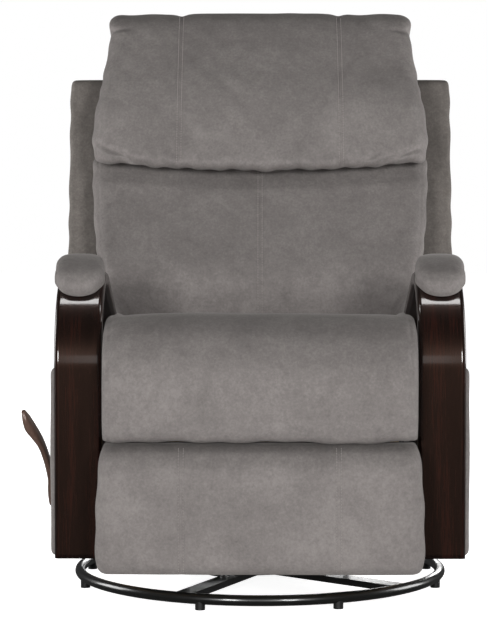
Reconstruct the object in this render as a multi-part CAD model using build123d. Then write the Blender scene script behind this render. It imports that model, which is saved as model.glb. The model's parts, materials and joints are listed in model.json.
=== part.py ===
"""Swivel glider recliner with bentwood arms, in millimetres.

+Z is up, the sitter faces -Y, and the origin is on the floor at the swivel axis. Names with
"left" lie at -X (the sitter's right hand), as the chair is seen from the front.
Heights are from the floor, depths are along Y from the swivel axis.
"""
from build123d import *
import math
import os

os.makedirs("parts", exist_ok=True)

# ---------------------------------------------------------------- driving sizes
RUN_GAP = 0.05              # radial clearance of a pin in its hole
SOFT_GAP = 0.4              # air between a padded piece and its neighbour

# floor ring and swivel
glide_height = 9.5          # underside of the ring's tube above the floor
glide_radius = 9.0
glide_angles = (-72, -18, 24, 73)       # degrees from straight ahead; the other four face them
ring_radius = 345.6
ring_tube_radius = 10.0
cross_bar_angles = (-24.5, 50)
cross_bar_width = 34.0
cross_bar_height = 12.0
hub_plate_side = 236.0
hub_plate_thickness = 6.0
hub_plate_corner = 30.0
hub_plate_turn = 12.0
spindle_radius = 12.0
race_radius = 88.0
race_width = 20.0
race_height = 9.0
ball_radius = 5.0
ball_count = 24
race_gap = 1.2
swivel_plate_side = 250.0
swivel_plate_thickness = 5.0

# glider
rail_inner_x = 128.0
rail_outer_x = 168.0
rail_height = 25.0
rail_wall = 3.0
tie_width = 24.0
tie_thickness = 6.0
rail_front_overhang = 25.0  # swivel rails past the front and rear hangers' middles
rail_rear_overhang = 60.0
hanger_thickness = 5.0
hanger_width = 36.0
front_glide_y = -200.0
rear_glide_y = 30.0
glide_upper_z = 235.0
glide_link_length = 120.0
glide_link_width = 24.0
glide_link_thickness = 4.0
glide_pin_radius = 5.0
link_side_gap = 1.0
side_bar_thickness = 5.0
side_bar_height = 40.0
platform_tube_side = 25.0
platform_tube_wall = 2.0
platform_tube_ys = (-280.0, -85.0)

# arms and side panels
base_z = 100.0              # underside of the arms, side panels and base rails
arm_outer_x = 362.0
arm_width = 84.0
arm_thickness = 26.0
arm_front_y = -380.0
arm_rear_y = 150.0
arm_top_z = 600.0
arm_front_radius = 165.0
arm_rear_radius = 100.0
arm_slope = 20.0            # degrees by which the arm's top falls to the rear
arm_edge_round = 7.5
bolt_cap_radius = 8.0
bolt_cap_thickness = 4.0
bolt_cap_heights = (60.0, 200.0)        # above the arm's foot, on its rear leg
panel_outer_x = 372.0
panel_top_z = 436.0
panel_round = 16.0
pad_thickness = 31.0
pad_overhang = 2.0
pad_start_angle = 50.0      # degrees up the front bend where the pad's front end lies
pad_run = 200.0             # length of the pad along the arm's slope, past the bend
pad_end_bulge = 8.0
pad_nose_bulge = 3.0        # degrees
pad_round = 13.0

# wooden base frame
base_rail_inset = 2.0       # the rails lie this far inside the arm's inner face and its legs
base_rail_thickness = 18.0
base_rail_height = 125.0
base_cross_rail_height = 24.0
base_cross_rail_thickness = 20.0

# seat
seat_rail_thickness = 20.0
seat_rail_bottom_z = 255.0
seat_rail_top_z = 325.0
seat_front_y = -345.0
seat_rear_y = 98.0
seat_travel = 50.0
seat_side_gap = 7.0         # air between the seat cushion and the arms
seat_cushion_rear_y = 62.0
bolster_bottom_z = 318.0
bolster_front_y = -468.0
bolster_top_z = 531.0
seat_back_z = 494.0
spring_wire_radius = 1.9
spring_xs = (-168.0, -84.0, 0.0, 84.0, 168.0)
spring_loop = 22.0
spring_pitch = 27.0
spring_straight = 0.6       # share of a pitch that a wire runs straight at each end
spring_bend = 0.36          # share of a pitch, radius of a wire's bends
spring_drop = 8.0           # wires below the rails' top
plate_thickness = 3.0
runner_front_y = -40.0
runner_length = 150.0
channel_end_room = 15.0     # channel past the runner at each end of its travel
channel_bottom_z = 180.0
channel_height = 40.0
channel_wall = 4.0

# footrest linkage, points are (y, z) with the footrest shut
lane_gap = 1.0              # air between a link and the link or plate beside it
rail_clearance = 3.0        # air between the outer links and the base rails
link_thickness = 4.0
link_width = 24.0
link_pin_radius = 4.0
drive_tube_radius = 8.0
drive_pivot = (-215.0, 290.0)
drive_length = 150.0
drive_angle = -93.8         # degrees, 0 points forward and 90 points up
middle_length = 165.0
middle_angle = 64.9
front_length = 150.0
front_angle = -60.0
footrest_board_rear_y = -388.0
footrest_board_thickness = 14.0
footrest_board_inset = 22.0 # pad past the board at each side
footrest_bottom_z = 80.0
footrest_top_z = 311.0
footrest_half_width = 284.0
footrest_depth = 74.0
footrest_seam_x = 136.0
bracket_height = 90.0

# back, sizes in its own upright frame: y from the recline pivot, v up the back
back_tilt = 18.0
recline_pivot = (139.0, 292.0)
back_front = -25.0
back_thickness = 50.0
back_side_gap = 1.5         # air between the back's hinge plates and the mechanism plates
back_post_width = 36.0
back_bottom_v = -25.0
back_top_v = 796.0
back_rail_height = 60.0
back_rail_vs = (20.0, 300.0, 480.0)     # undersides of the three lower rails
hinge_plate_thickness = 3.5
hinge_plate_length = 60.0   # between the middles of its round ends
hinge_plate_width = 33.6
hinge_plate_v = 25.0
outer_panel_thickness = 15.0
outer_panel_bottom_v = 12.0
outer_panel_top_v = 808.0
wing_low_half_width = 383.0
wing_top_half_width = 392.0
wing_bottom_v = 162.0
wing_top_v = 700.0
wing_corner = 20.0
lumbar_bottom_v = 150.0
crease_v = 480.0
crease_gap = 3.0
pillow_top_v = 841.0
pillow_seam_x = 160.0
pillow_half_width = 331.0
pillow_depth = 150.0
lumbar_half_width = 325.0
lumbar_depth = 116.0
cushion_corner = 50.0
shoulder_half_width = 292.0 # outer back above the wings

# lever
lever_pivot = (-150.0, 184.0)
lever_hub_radius = 24.0
lever_hub_thickness = 16.0
lever_shaft_radius = 7.0
lever_length = 178.0
lever_lean = 26.0           # degrees forward of upright
lever_flare = 47.0          # how far the grip stands out from the hub
lever_width = 30.0
lever_thickness = 13.0
lever_screw_radius = 6.0
lever_screw_head = 2.0
crank_boss = 5.0            # wall round the crank's bore
lever_panel_gap = 2.0
crank_length = 26.0
crank_angle = -110.0
crank_width = 16.0
seam_depth = 3.5            # how far a sewn channel is drawn in

nodes = {}


# ---------------------------------------------------------------- helpers
def block(x0, x1, y0, y1, z0, z1):
    """A box between two corners."""
    return Pos((x0 + x1) / 2, (y0 + y1) / 2, (z0 + z1) / 2) * Box(x1 - x0, y1 - y0, z1 - z0)


def plate(outline, x0, x1):
    """A face drawn in the (y, z) plane, given thickness from x0 to x1."""
    return extrude(Pos(x0, 0, 0) * (Plane.YZ * outline), amount=x1 - x0, dir=(1, 0, 0))


def rod(point, x0, x1, radius):
    """A round bar along X through the point (y, z)."""
    return Pos((x0 + x1) / 2, point[0], point[1]) * Rot(0, 90, 0) * Cylinder(radius, x1 - x0)


def step_from(point, length, angle):
    """The point (y, z) that lies a length away; angle 0 is forward, 90 is up."""
    turn = math.radians(angle)
    return (point[0] - length * math.cos(turn), point[1] + length * math.sin(turn))


def link(start, end, width, x0, x1, hole_radius):
    """A flat bar with round ends and a hole at each end, between two (y, z) points."""
    reach = math.dist(start, end)
    turn = math.degrees(math.atan2(end[1] - start[1], end[0] - start[0]))
    middle = ((start[0] + end[0]) / 2, (start[1] + end[1]) / 2)
    outline = Pos(*middle) * Rot(0, 0, turn) * SlotCenterToCenter(reach, width)
    bar = plate(outline, x0, x1)
    for point in (start, end):
        bar -= rod(point, x0 - 1, x1 + 1, hole_radius)
    return bar


def both_sides(shape):
    """The shape at +X and its mirror image at -X."""
    return [mirror(shape, about=Plane.YZ), shape]


def put(name, *shapes):
    """Keeps the solids of one node."""
    solids = []
    for shape in shapes:
        solids += list(shape.solids())
    nodes[name] = solids


def tilt_back(shape):
    """Carries a shape from the back's own upright frame to its place at rest."""
    return Pos(0, recline_pivot[0], recline_pivot[1]) * Rot(-back_tilt, 0, 0) * shape


def pad_ring(height, half_width, front, rear, corner, seams=()):
    """Level section of a cushion facing -Y: flat rear, drawn-in sides, a crowned front with seams.

    Between its corners the front follows a parabola, drawn in by the seam's depth at each sewn
    channel, and each panel between two channels is one arc that bulges a little past it.
    """
    side_bow = 0.16 * corner
    shoulder = front + corner
    corner_mid = 0.293 * corner
    crown = min(0.12 * (rear - front), 10.0)
    half_front = half_width - corner

    def crowned(x):
        return front + crown * (x / half_front) ** 2

    points = {
        "rear": (half_width - side_bow, rear),
        "side": (half_width, (rear + shoulder) / 2),
        "shoulder": (half_width - 0.3 * side_bow, shoulder),
        "corner": (half_width - corner_mid, front + corner_mid + crown),
        "front": (half_front, front + crown),
    }
    mirrored = {name: (-x, y) for name, (x, y) in points.items()}
    draw = min(seam_depth, 0.5 * (rear - front))
    stops = [points["front"]] + [(x, crowned(x) + draw) for x in seams] + [mirrored["front"]]
    panels = []
    for start, end in zip(stops, stops[1:]):
        middle = (start[0] + end[0]) / 2
        panels.append(ThreePointArc(start, (middle, crowned(middle)), end))
    edges = [
        Line(mirrored["rear"], points["rear"]),
        ThreePointArc(points["rear"], points["side"], points["shoulder"]),
        ThreePointArc(points["shoulder"], points["corner"], points["front"]),
        *panels,
        ThreePointArc(mirrored["front"], mirrored["corner"], mirrored["shoulder"]),
        ThreePointArc(mirrored["shoulder"], mirrored["side"], mirrored["rear"]),
    ]
    return Pos(0, 0, height) * make_face(edges)


# ---------------------------------------------------------------- floor ring
ring_z = glide_height + ring_tube_radius
bar_bottom_z = ring_z - cross_bar_height / 2
bar_top_z = ring_z + cross_bar_height / 2
hub_top_z = bar_top_z + hub_plate_thickness
race_bottom_z = hub_top_z
race_top_z = race_bottom_z + race_height
upper_race_z = race_top_z + race_gap
swivel_plate_z = upper_race_z + race_height
swivel_top_z = swivel_plate_z + swivel_plate_thickness


def floor_ring():
    ring = Pos(0, 0, ring_z) * Torus(ring_radius, ring_tube_radius)
    bars = None
    for angle in cross_bar_angles:
        bar = Rot(0, 0, angle) * Box(cross_bar_width, 2 * ring_radius, cross_bar_height)
        bars = bar if bars is None else bars + bar
    put("base_ring", ring)
    tube = Pos(0, 0, ring_z) * Torus(ring_radius, ring_tube_radius)
    well = Pos(0, 0, ring_z) * Cylinder(spindle_radius, 2 * cross_bar_height)
    put("base_cross_bars", Pos(0, 0, ring_z) * bars - tube - well)


def floor_glides():
    """Low round feet, hollowed on top where the ring's tube sits in them."""
    feet = []
    tube = Pos(0, 0, ring_z) * Torus(ring_radius, ring_tube_radius)
    for angle in [a + turn for turn in (0, 180) for a in glide_angles]:
        turn = math.radians(angle)
        centre = (ring_radius * math.sin(turn), -ring_radius * math.cos(turn))
        foot = Pos(*centre, glide_height) * Cylinder(glide_radius, 2 * glide_height)
        feet += list((foot - tube).solids())
    put("floor_glides", *feet)


def swivel_bearing():
    groove = Torus(race_radius, ball_radius + 0.2)
    ball_z = (race_top_z + upper_race_z) / 2
    blank = Cylinder(race_radius + race_width / 2, race_height)
    blank -= Cylinder(race_radius - race_width / 2, race_height)
    lower = Pos(0, 0, race_bottom_z + race_height / 2) * blank - Pos(0, 0, ball_z) * groove
    upper = Pos(0, 0, upper_race_z + race_height / 2) * blank - Pos(0, 0, ball_z) * groove
    put("bearing_lower_race", lower)
    put("bearing_upper_race", upper)
    balls = []
    for step in range(ball_count):
        turn = 2 * math.pi * step / ball_count
        spot = (race_radius * math.cos(turn), race_radius * math.sin(turn), ball_z)
        balls.append(Pos(*spot) * Sphere(ball_radius))
    put("bearing_balls", *balls)


def square_plate(side, corner, thickness, bottom_z, turn=0):
    outline = RectangleRounded(side, side, corner)
    return Pos(0, 0, bottom_z) * Rot(0, 0, turn) * extrude(outline, amount=thickness)


def swivel_centre():
    hub = square_plate(hub_plate_side, hub_plate_corner, hub_plate_thickness, bar_top_z, hub_plate_turn)
    hub -= Pos(0, 0, bar_top_z) * Cylinder(spindle_radius, 4 * hub_plate_thickness)
    put("hub_plate", hub)
    head_z = swivel_top_z + 0.5
    shank = Pos(0, 0, (bar_bottom_z + head_z) / 2) * Cylinder(spindle_radius, head_z - bar_bottom_z)
    head = Pos(0, 0, head_z + 4) * Cylinder(1.8 * spindle_radius, 8)
    put("swivel_spindle", shank + head)
    top = square_plate(swivel_plate_side, hub_plate_corner, swivel_plate_thickness, swivel_plate_z)
    top -= Pos(0, 0, swivel_plate_z) * Cylinder(spindle_radius + RUN_GAP, 4 * swivel_plate_thickness)
    put("swivel_plate", top)


# ---------------------------------------------------------------- glider
rail_top_z = swivel_top_z + rail_height
hanger_x = rail_outer_x + hanger_thickness
link_x = hanger_x + link_side_gap
side_bar_x = link_x + glide_link_thickness + link_side_gap
glide_lower_z = glide_upper_z - glide_link_length


def swivel_frame():
    """Two channels on the turning plate, and the four upright hangers that carry the glide links."""
    front, rear = front_glide_y - rail_front_overhang, rear_glide_y + rail_rear_overhang
    rail = block(rail_inner_x, rail_outer_x, front, rear, swivel_top_z, rail_top_z)
    rail -= block(rail_inner_x + rail_wall, rail_outer_x - rail_wall, front, rear,
                  swivel_top_z - 1, rail_top_z - rail_wall)
    put("swivel_rails", *both_sides(rail))
    ties = []
    for y in (front, -swivel_plate_side / 4, swivel_plate_side / 4):
        ties.append(block(-rail_inner_x, rail_inner_x, y, y + tie_width,
                          swivel_top_z, swivel_top_z + tie_thickness))
    spindle_room = Pos(0, 0, swivel_top_z) * Cylinder(2.4 * spindle_radius, 60)
    put("swivel_frame_ties", *[tie - spindle_room for tie in ties])
    hangers, pins = [], []
    for y in (front_glide_y, rear_glide_y):
        foot = block(rail_outer_x, hanger_x, y - hanger_width / 2, y + hanger_width / 2,
                     swivel_top_z, glide_upper_z)
        crown = rod((y, glide_upper_z), rail_outer_x, hanger_x, hanger_width / 2)
        hole = rod((y, glide_upper_z), rail_outer_x - 1, hanger_x + 1, glide_pin_radius)
        hangers += both_sides(foot + crown - hole)
        pins += both_sides(glide_pin((y, glide_upper_z), rail_outer_x - 3))
    put("glide_hangers", *hangers)
    put("upper_glide_pins", *pins)


def glide_pin(point, x0):
    """A rivet: a wide head, and a shank that goes through the hanger and the link."""
    shank_end = link_x + glide_link_thickness + link_side_gap / 2
    return rod(point, x0, rail_outer_x, 1.7 * glide_pin_radius) + rod(point, rail_outer_x, shank_end, glide_pin_radius)


def glide_links():
    for name, y in (("front_glide_links", front_glide_y), ("rear_glide_links", rear_glide_y)):
        bar = link((y, glide_lower_z), (y, glide_upper_z), glide_link_width,
                   link_x, link_x + glide_link_thickness, glide_pin_radius + RUN_GAP)
        put(name, *both_sides(bar))


def glider_platform():
    bar_z = glide_lower_z - side_bar_height / 2
    bar = block(side_bar_x, side_bar_x + side_bar_thickness,
                platform_tube_ys[0] - platform_tube_side, rear_glide_y + hanger_width / 2,
                base_z, glide_lower_z + side_bar_height / 2)
    pins = []
    for y in (front_glide_y, rear_glide_y):
        point = (y, glide_lower_z)
        bar -= rod(point, side_bar_x - 1, side_bar_x + side_bar_thickness + 1, glide_pin_radius)
        shank = rod(point, link_x - link_side_gap / 2, side_bar_x + side_bar_thickness, glide_pin_radius)
        head = rod(point, side_bar_x + side_bar_thickness, side_bar_x + side_bar_thickness + 3,
                   1.7 * glide_pin_radius)
        pins += both_sides(shank + head)
    tubes = []
    for y in platform_tube_ys:
        half = platform_tube_side / 2
        tube = block(-base_rail_inner_x, base_rail_inner_x, y - half, y + half,
                     base_z, base_z + platform_tube_side)
        inner = half - platform_tube_wall
        tube -= block(-base_rail_inner_x, base_rail_inner_x, y - inner, y + inner,
                      base_z + platform_tube_wall, base_z + platform_tube_side - platform_tube_wall)
        for side in (-1, 1):
            x = side * (side_bar_x + side_bar_thickness / 2)
            tube -= block(x - side_bar_thickness / 2, x + side_bar_thickness / 2, y - half - 1, y + half + 1,
                          base_z - 1, base_z + platform_tube_side + 1)
        tubes.append(tube)
    put("glide_side_bars", *both_sides(bar))
    put("lower_glide_pins", *pins)
    put("platform_cross_tubes", *tubes)


# ---------------------------------------------------------------- arms
arm_inner_x = arm_outer_x - arm_width
base_rail_outer_x = arm_inner_x + base_rail_inset
base_rail_inner_x = base_rail_outer_x - base_rail_thickness


# the arm's two bends, as points (y, z); its top is the line that touches both
arm_crest = 90 + arm_slope
slope_turn = math.radians(arm_slope)
front_bend = (arm_front_y + arm_front_radius, arm_top_z - arm_front_radius)
radius_drop = arm_front_radius - arm_rear_radius
rear_bend_y = arm_rear_y - arm_rear_radius
slope_length = (rear_bend_y - front_bend[0] - radius_drop * math.sin(slope_turn)) / math.cos(slope_turn)
rear_bend_z = front_bend[1] + radius_drop * math.cos(slope_turn) - slope_length * math.sin(slope_turn)
rear_bend = (rear_bend_y, rear_bend_z)


def bend(centre, radius, start, end):
    """An arc of one of the arm's bends, from one angle to another; 0 faces forward and 90 up."""
    angles = (start, (start + end) / 2, end)
    return ThreePointArc(*[step_from(centre, radius, angle) for angle in angles])


def arm_outline(offset):
    """Side outline of the bent band, moved inwards by offset: front leg, bend, top, bend, rear leg."""
    front_r, rear_r = arm_front_radius - offset, arm_rear_radius - offset
    return [
        Line((arm_front_y + offset, base_z), step_from(front_bend, front_r, 0)),
        bend(front_bend, front_r, 0, arm_crest),
        Line(step_from(front_bend, front_r, arm_crest), step_from(rear_bend, rear_r, arm_crest)),
        bend(rear_bend, rear_r, arm_crest, 180),
        Line(step_from(rear_bend, rear_r, 180), (arm_rear_y - offset, base_z)),
    ]


def bentwood_arm():
    outer, inner = arm_outline(0), arm_outline(arm_thickness)
    ends = [
        Line((arm_front_y, base_z), (arm_front_y + arm_thickness, base_z)),
        Line((arm_rear_y - arm_thickness, base_z), (arm_rear_y, base_z)),
    ]
    band = plate(make_face(outer + inner + ends), arm_inner_x, arm_outer_x)
    side_edges = [e for e in band.edges() if abs(e.center().X - arm_inner_x) < 0.1
                  or abs(e.center().X - arm_outer_x) < 0.1]
    long_edges = [e for e in side_edges if e.center().Z > base_z + 1]
    return fillet(long_edges, arm_edge_round)


def arm_pad():
    """Upholstered pad on the arm: it starts part way up the front bend and lies along the slope."""
    under_r = arm_front_radius + SOFT_GAP
    over_r = under_r + pad_thickness
    nose_angle = pad_start_angle - pad_nose_bulge
    over_angle = pad_start_angle + pad_nose_bulge

    def on_slope(radius, run):
        return step_from(step_from(front_bend, radius, arm_crest), -run, arm_slope)

    under_end, over_end = on_slope(under_r, pad_run), on_slope(over_r, pad_run)
    tail = on_slope((under_r + over_r) / 2, pad_run + pad_end_bulge)
    outline = make_face([
        bend(front_bend, under_r, pad_start_angle, arm_crest),
        Line(on_slope(under_r, 0), under_end),
        ThreePointArc(under_end, tail, over_end),
        Line(over_end, on_slope(over_r, 0)),
        bend(front_bend, over_r, arm_crest, over_angle),
        ThreePointArc(step_from(front_bend, over_r, over_angle),
                      step_from(front_bend, (under_r + over_r) / 2, nose_angle),
                      step_from(front_bend, under_r, pad_start_angle)),
    ])

    def height_over_bend(edge):
        y, z = edge.center().Y - front_bend[0], edge.center().Z - front_bend[1]
        if y * math.cos(slope_turn) < z * math.sin(slope_turn):
            return math.hypot(y, z)
        return y * math.sin(slope_turn) + z * math.cos(slope_turn)

    inner_x, outer_x = arm_inner_x - pad_overhang, arm_outer_x + pad_overhang
    pad = plate(outline, inner_x, outer_x)
    sides = [e for e in pad.edges() if abs(e.center().X - inner_x) < 0.1 or abs(e.center().X - outer_x) < 0.1]
    return fillet([e for e in sides if height_over_bend(e) > over_r - 1], pad_round)


def side_panel():
    """Padded panel inside the arm's loop; its upper rear corner follows the arm's rear bend."""
    front_y = arm_front_y + arm_thickness + SOFT_GAP
    rear_y = arm_rear_y - arm_thickness - SOFT_GAP
    rear_corner = max(panel_round, panel_top_z - rear_bend_z + panel_round)
    outline = Pos((front_y + rear_y) / 2, (base_z + panel_top_z) / 2) * Rectangle(
        rear_y - front_y, panel_top_z - base_z)
    upper_rear = outline.vertices().sort_by(lambda v: v.X + v.Y)[-1]
    panel = plate(fillet(upper_rear, rear_corner), base_rail_outer_x, panel_outer_x)
    outer = [e for e in panel.edges() if abs(e.center().X - panel_outer_x) < 0.1]
    return fillet(outer, panel_round)


def arms():
    for side, name in ((-1, "left"), (1, "right")):
        def turned(shape):
            return mirror(shape, about=Plane.YZ) if side < 0 else shape
        put(f"bentwood_arm_{name}", turned(bentwood_arm()))
        put(f"arm_pad_{name}", turned(arm_pad()))
        panel = turned(side_panel())
        if side < 0:
            panel -= rod(lever_pivot, -panel_outer_x - 1, -base_rail_inner_x, lever_shaft_radius + 1)
        put(f"side_panel_{name}", panel)
    caps = []
    cap_x, cap_y = (arm_inner_x + arm_outer_x) / 2, arm_rear_y + bolt_cap_thickness / 2
    for height in bolt_cap_heights:
        cap = Pos(cap_x, cap_y, base_z + height) * Rot(90, 0, 0) * Cylinder(bolt_cap_radius, bolt_cap_thickness)
        caps += both_sides(cap)
    put("arm_bolt_caps", *caps)


def base_frame():
    top_z = base_z + base_rail_height
    front_y = arm_front_y + arm_thickness + base_rail_inset
    rear_y = arm_rear_y - arm_thickness - base_rail_inset
    rail = block(base_rail_inner_x, base_rail_outer_x, front_y, rear_y, base_z, top_z)
    right = rail
    left = mirror(rail, about=Plane.YZ)
    left -= rod(lever_pivot, -base_rail_outer_x - 1, -base_rail_inner_x + 1, lever_shaft_radius + RUN_GAP)
    put("base_side_rail_left", left)
    put("base_side_rail_right", right)
    low_z = base_z + base_cross_rail_height
    front = block(-base_rail_inner_x, base_rail_inner_x, front_y, front_y + base_cross_rail_thickness,
                  base_z, low_z)
    rear = block(-base_rail_inner_x, base_rail_inner_x, rear_y - base_cross_rail_thickness, rear_y,
                 base_z, low_z)
    put("base_cross_rails", front, rear)


# ---------------------------------------------------------------- seat
outer_lane = base_rail_inner_x - rail_clearance - link_thickness
inner_lane = outer_lane - lane_gap - link_thickness
plate_x = inner_lane - lane_gap
seat_rail_outer_x = plate_x - plate_thickness
seat_half_width = arm_inner_x - seat_side_gap
drive_end = step_from(drive_pivot, drive_length, drive_angle)
middle_end = step_from(drive_end, middle_length, middle_angle)
footrest_pivot = step_from(middle_end, front_length, front_angle)


def seat_frame():
    inner_x = seat_rail_outer_x - seat_rail_thickness
    side = block(inner_x, seat_rail_outer_x, seat_front_y, seat_rear_y, seat_rail_bottom_z, seat_rail_top_z)
    side -= rod(drive_pivot, inner_x - 1, seat_rail_outer_x + 1, drive_tube_radius + 1)
    put("seat_side_rails", *both_sides(side))
    low, high = seat_rail_bottom_z, seat_rail_top_z
    put("seat_front_rail", block(-inner_x, inner_x, seat_front_y, seat_front_y + seat_rail_thickness, low, high))
    put("seat_rear_rail", block(-inner_x, inner_x, seat_rear_y - seat_rail_thickness, seat_rear_y, low, high))


def seat_springs():
    """Flat zigzag wires from the front rail to the rear rail, just under the cushion."""
    front = seat_front_y + seat_rail_thickness
    rear = seat_rear_y - seat_rail_thickness
    count = int((rear - front) / spring_pitch)
    pitch = (rear - front) / (count + 1)
    wires = []
    spring_z = seat_rail_top_z - spring_drop
    for x in spring_xs:
        points = [(x, front, spring_z), (x, front + spring_straight * pitch, spring_z)]
        for step in range(count):
            side = 1 if step % 2 else -1
            points.append((x + side * spring_loop, front + (step + spring_straight) * pitch, spring_z))
            points.append((x + side * spring_loop, front + (step + 2 - spring_straight) * pitch, spring_z))
        points += [(x, rear - spring_straight * pitch, spring_z), (x, rear, spring_z)]
        path = FilletPolyline(*points, radius=spring_bend * pitch)
        start = Plane(origin=path @ 0, z_dir=path % 0)
        wires.append(sweep(start * Circle(spring_wire_radius), path=path))
    put("seat_springs", *wires)


def mechanism_plates():
    """Steel side plates on the seat's rails: they carry the footrest links, the runners and the back."""
    front_y = drive_pivot[0] - link_width
    low_z = channel_bottom_z + channel_wall + SOFT_GAP
    runner_rear_y = runner_front_y + runner_length
    rear_y = recline_pivot[0] + link_width / 2
    outline = make_face(Polyline(
        (front_y, seat_rail_top_z - 6), (rear_y, seat_rail_top_z - 6), (rear_y, recline_pivot[1] - 20),
        (runner_rear_y, low_z), (runner_front_y, low_z), (front_y, seat_rail_bottom_z + 5), close=True))
    side = plate(outline, seat_rail_outer_x, plate_x)
    side -= rod(drive_pivot, seat_rail_outer_x - 1, plate_x + 1, drive_tube_radius + RUN_GAP)
    side -= rod(recline_pivot, seat_rail_outer_x - 1, plate_x + 1, link_pin_radius + RUN_GAP)
    left, right = both_sides(side)
    put("mechanism_plate_left", left)
    put("mechanism_plate_right", right)


def seat_slides():
    """Channels on the base frame, and the runners on the seat that travel in them."""
    low, high = channel_bottom_z, channel_bottom_z + channel_height
    front = runner_front_y - seat_travel - channel_end_room
    rear = runner_front_y + runner_length + channel_end_room
    channel = block(plate_x + 2, base_rail_inner_x, front, rear, low, high)
    channel -= block(plate_x + 1, base_rail_inner_x - channel_wall, front - 1, rear + 1,
                     low + channel_wall, high - channel_wall)
    put("slide_channels", *both_sides(channel))
    runner = block(plate_x, base_rail_inner_x - channel_wall - SOFT_GAP,
                   runner_front_y, runner_front_y + runner_length,
                   low + channel_wall + SOFT_GAP, high - channel_wall - SOFT_GAP)
    put("slide_runners", *both_sides(runner))


def seat_section(x, inset):
    """Side section of the seat cushion at one x: long flat underside, and a fat rolled front."""
    rear = seat_cushion_rear_y - 0.5 * inset
    front = bolster_front_y + inset
    low = bolster_bottom_z + 0.7 * inset
    deck = seat_rail_top_z + SOFT_GAP + 0.2 * inset
    top = bolster_top_z - inset
    back = seat_back_z - inset
    step_y = seat_front_y - 5
    edges = [
        Line((rear, deck), (step_y, deck)),
        Line((step_y, deck), (step_y - 8, low)),
        Line((step_y - 8, low), (front + 70, low)),
        ThreePointArc((front + 70, low), (front + 16, low + 30), (front, low + 84)),
        ThreePointArc((front, low + 84), (front + 34, top - 44), (front + 118, top)),
        ThreePointArc((front + 118, top), ((front + rear) / 2, (top + back) / 2 + 2), (rear, back)),
        Line((rear, back), (rear, deck)),
    ]
    return Pos(x, 0, 0) * (Plane.YZ * make_face(edges))


def seat_cushion():
    spread = ((1.0, 34), (0.985, 16), (0.93, 6), (0.6, 0), (0.0, 0))
    sections = [seat_section(-share * seat_half_width, inset) for share, inset in spread]
    sections += [seat_section(share * seat_half_width, inset) for share, inset in reversed(spread[:-1])]
    put("seat_cushion", loft(sections))


# ---------------------------------------------------------------- footrest
def footrest_links():
    reach = link_thickness
    drive = link(drive_pivot, drive_end, link_width, inner_lane, inner_lane + reach, link_pin_radius)
    drive -= rod(drive_pivot, inner_lane - 1, inner_lane + reach + 1, drive_tube_radius)
    put("footrest_drive_links", *both_sides(drive))
    put("footrest_drive_tube", rod(drive_pivot, -inner_lane - reach, inner_lane + reach, drive_tube_radius))
    middle = link(drive_end, middle_end, link_width, outer_lane, outer_lane + reach, link_pin_radius + RUN_GAP)
    put("footrest_middle_links", *both_sides(middle))
    front = link(middle_end, footrest_pivot, link_width, inner_lane, inner_lane + reach, link_pin_radius)
    put("footrest_front_links", *both_sides(front))
    for name, point in (("drive_link_pins", drive_end), ("front_link_pins", middle_end),
                        ("footrest_pins", footrest_pivot)):
        pin = rod(point, inner_lane, outer_lane + reach + 0.5, link_pin_radius)
        put(name, *both_sides(pin))


def footrest():
    rear = footrest_board_rear_y
    front = rear - footrest_board_thickness
    board_half = footrest_half_width - footrest_board_inset
    board = block(-board_half, board_half, front, rear,
                  footrest_bottom_z + 22, footrest_top_z - 24)
    put("footrest_board", board)
    pivot_y, pivot_z = footrest_pivot
    outline = make_face(Polyline(
        (rear, pivot_z - bracket_height / 3), (rear, pivot_z + bracket_height * 2 / 3),
        (rear + 14, pivot_z + bracket_height * 2 / 3), (pivot_y + link_width / 2, pivot_z + 8),
        (pivot_y + link_width / 2, pivot_z - 8), (rear + 14, pivot_z - bracket_height / 3), close=True))
    bracket = plate(outline, outer_lane, outer_lane + link_thickness)
    bracket += block(outer_lane - 24, outer_lane + link_thickness, rear, rear + 3,
                     pivot_z - bracket_height / 3, pivot_z + bracket_height * 2 / 3)
    bracket -= rod(footrest_pivot, outer_lane - 1, outer_lane + link_thickness + 1, link_pin_radius + RUN_GAP)
    put("footrest_brackets", *both_sides(bracket))
    height = footrest_top_z - footrest_bottom_z
    half, depth = footrest_half_width, footrest_depth
    profile = (      # share of height, narrower by, share of depth, corner
        (0.0, 26, 0.40, 18), (0.05, 7, 0.74, 34), (0.17, 1, 0.95, 40), (0.42, 0, 1.0, 44),
        (0.70, 5, 0.98, 44), (0.88, 12, 0.84, 38), (0.97, 22, 0.55, 24), (1.0, 30, 0.36, 16),
    )
    seams = (footrest_seam_x, -footrest_seam_x)
    rings = [pad_ring(footrest_bottom_z + share * height, half - less, front - SOFT_GAP - deep * depth,
                      front - SOFT_GAP, corner, seams) for share, less, deep, corner in profile]
    put("footrest_pad", loft(rings))


# ---------------------------------------------------------------- back
back_rear = back_front + back_thickness
back_post_outer_x = seat_rail_outer_x - hinge_plate_thickness - back_side_gap


def back_frame():
    inner_x = back_post_outer_x - back_post_width
    post = block(inner_x, back_post_outer_x, back_front, back_rear, back_bottom_v, back_top_v)
    put("back_posts", *[tilt_back(p) for p in both_sides(post)])
    rails = []
    for low in (*back_rail_vs, back_top_v - back_rail_height):
        rails.append(block(-inner_x, inner_x, back_front, back_rear, low, low + back_rail_height))
    put("back_rails", *[tilt_back(r) for r in rails])
    outline = SlotCenterToCenter(hinge_plate_length, hinge_plate_width)
    hinge = extrude(Pos(back_post_outer_x, 0, hinge_plate_v) * Rot(0, 90, 0) * outline,
                    amount=hinge_plate_thickness, dir=(1, 0, 0))
    put("back_hinge_plates", *[tilt_back(h) for h in both_sides(hinge)])
    pin_end = plate_x + 0.5
    pin = rod(recline_pivot, back_post_outer_x + hinge_plate_thickness, pin_end, link_pin_radius)
    put("back_pivot_pins", *both_sides(pin))


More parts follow.
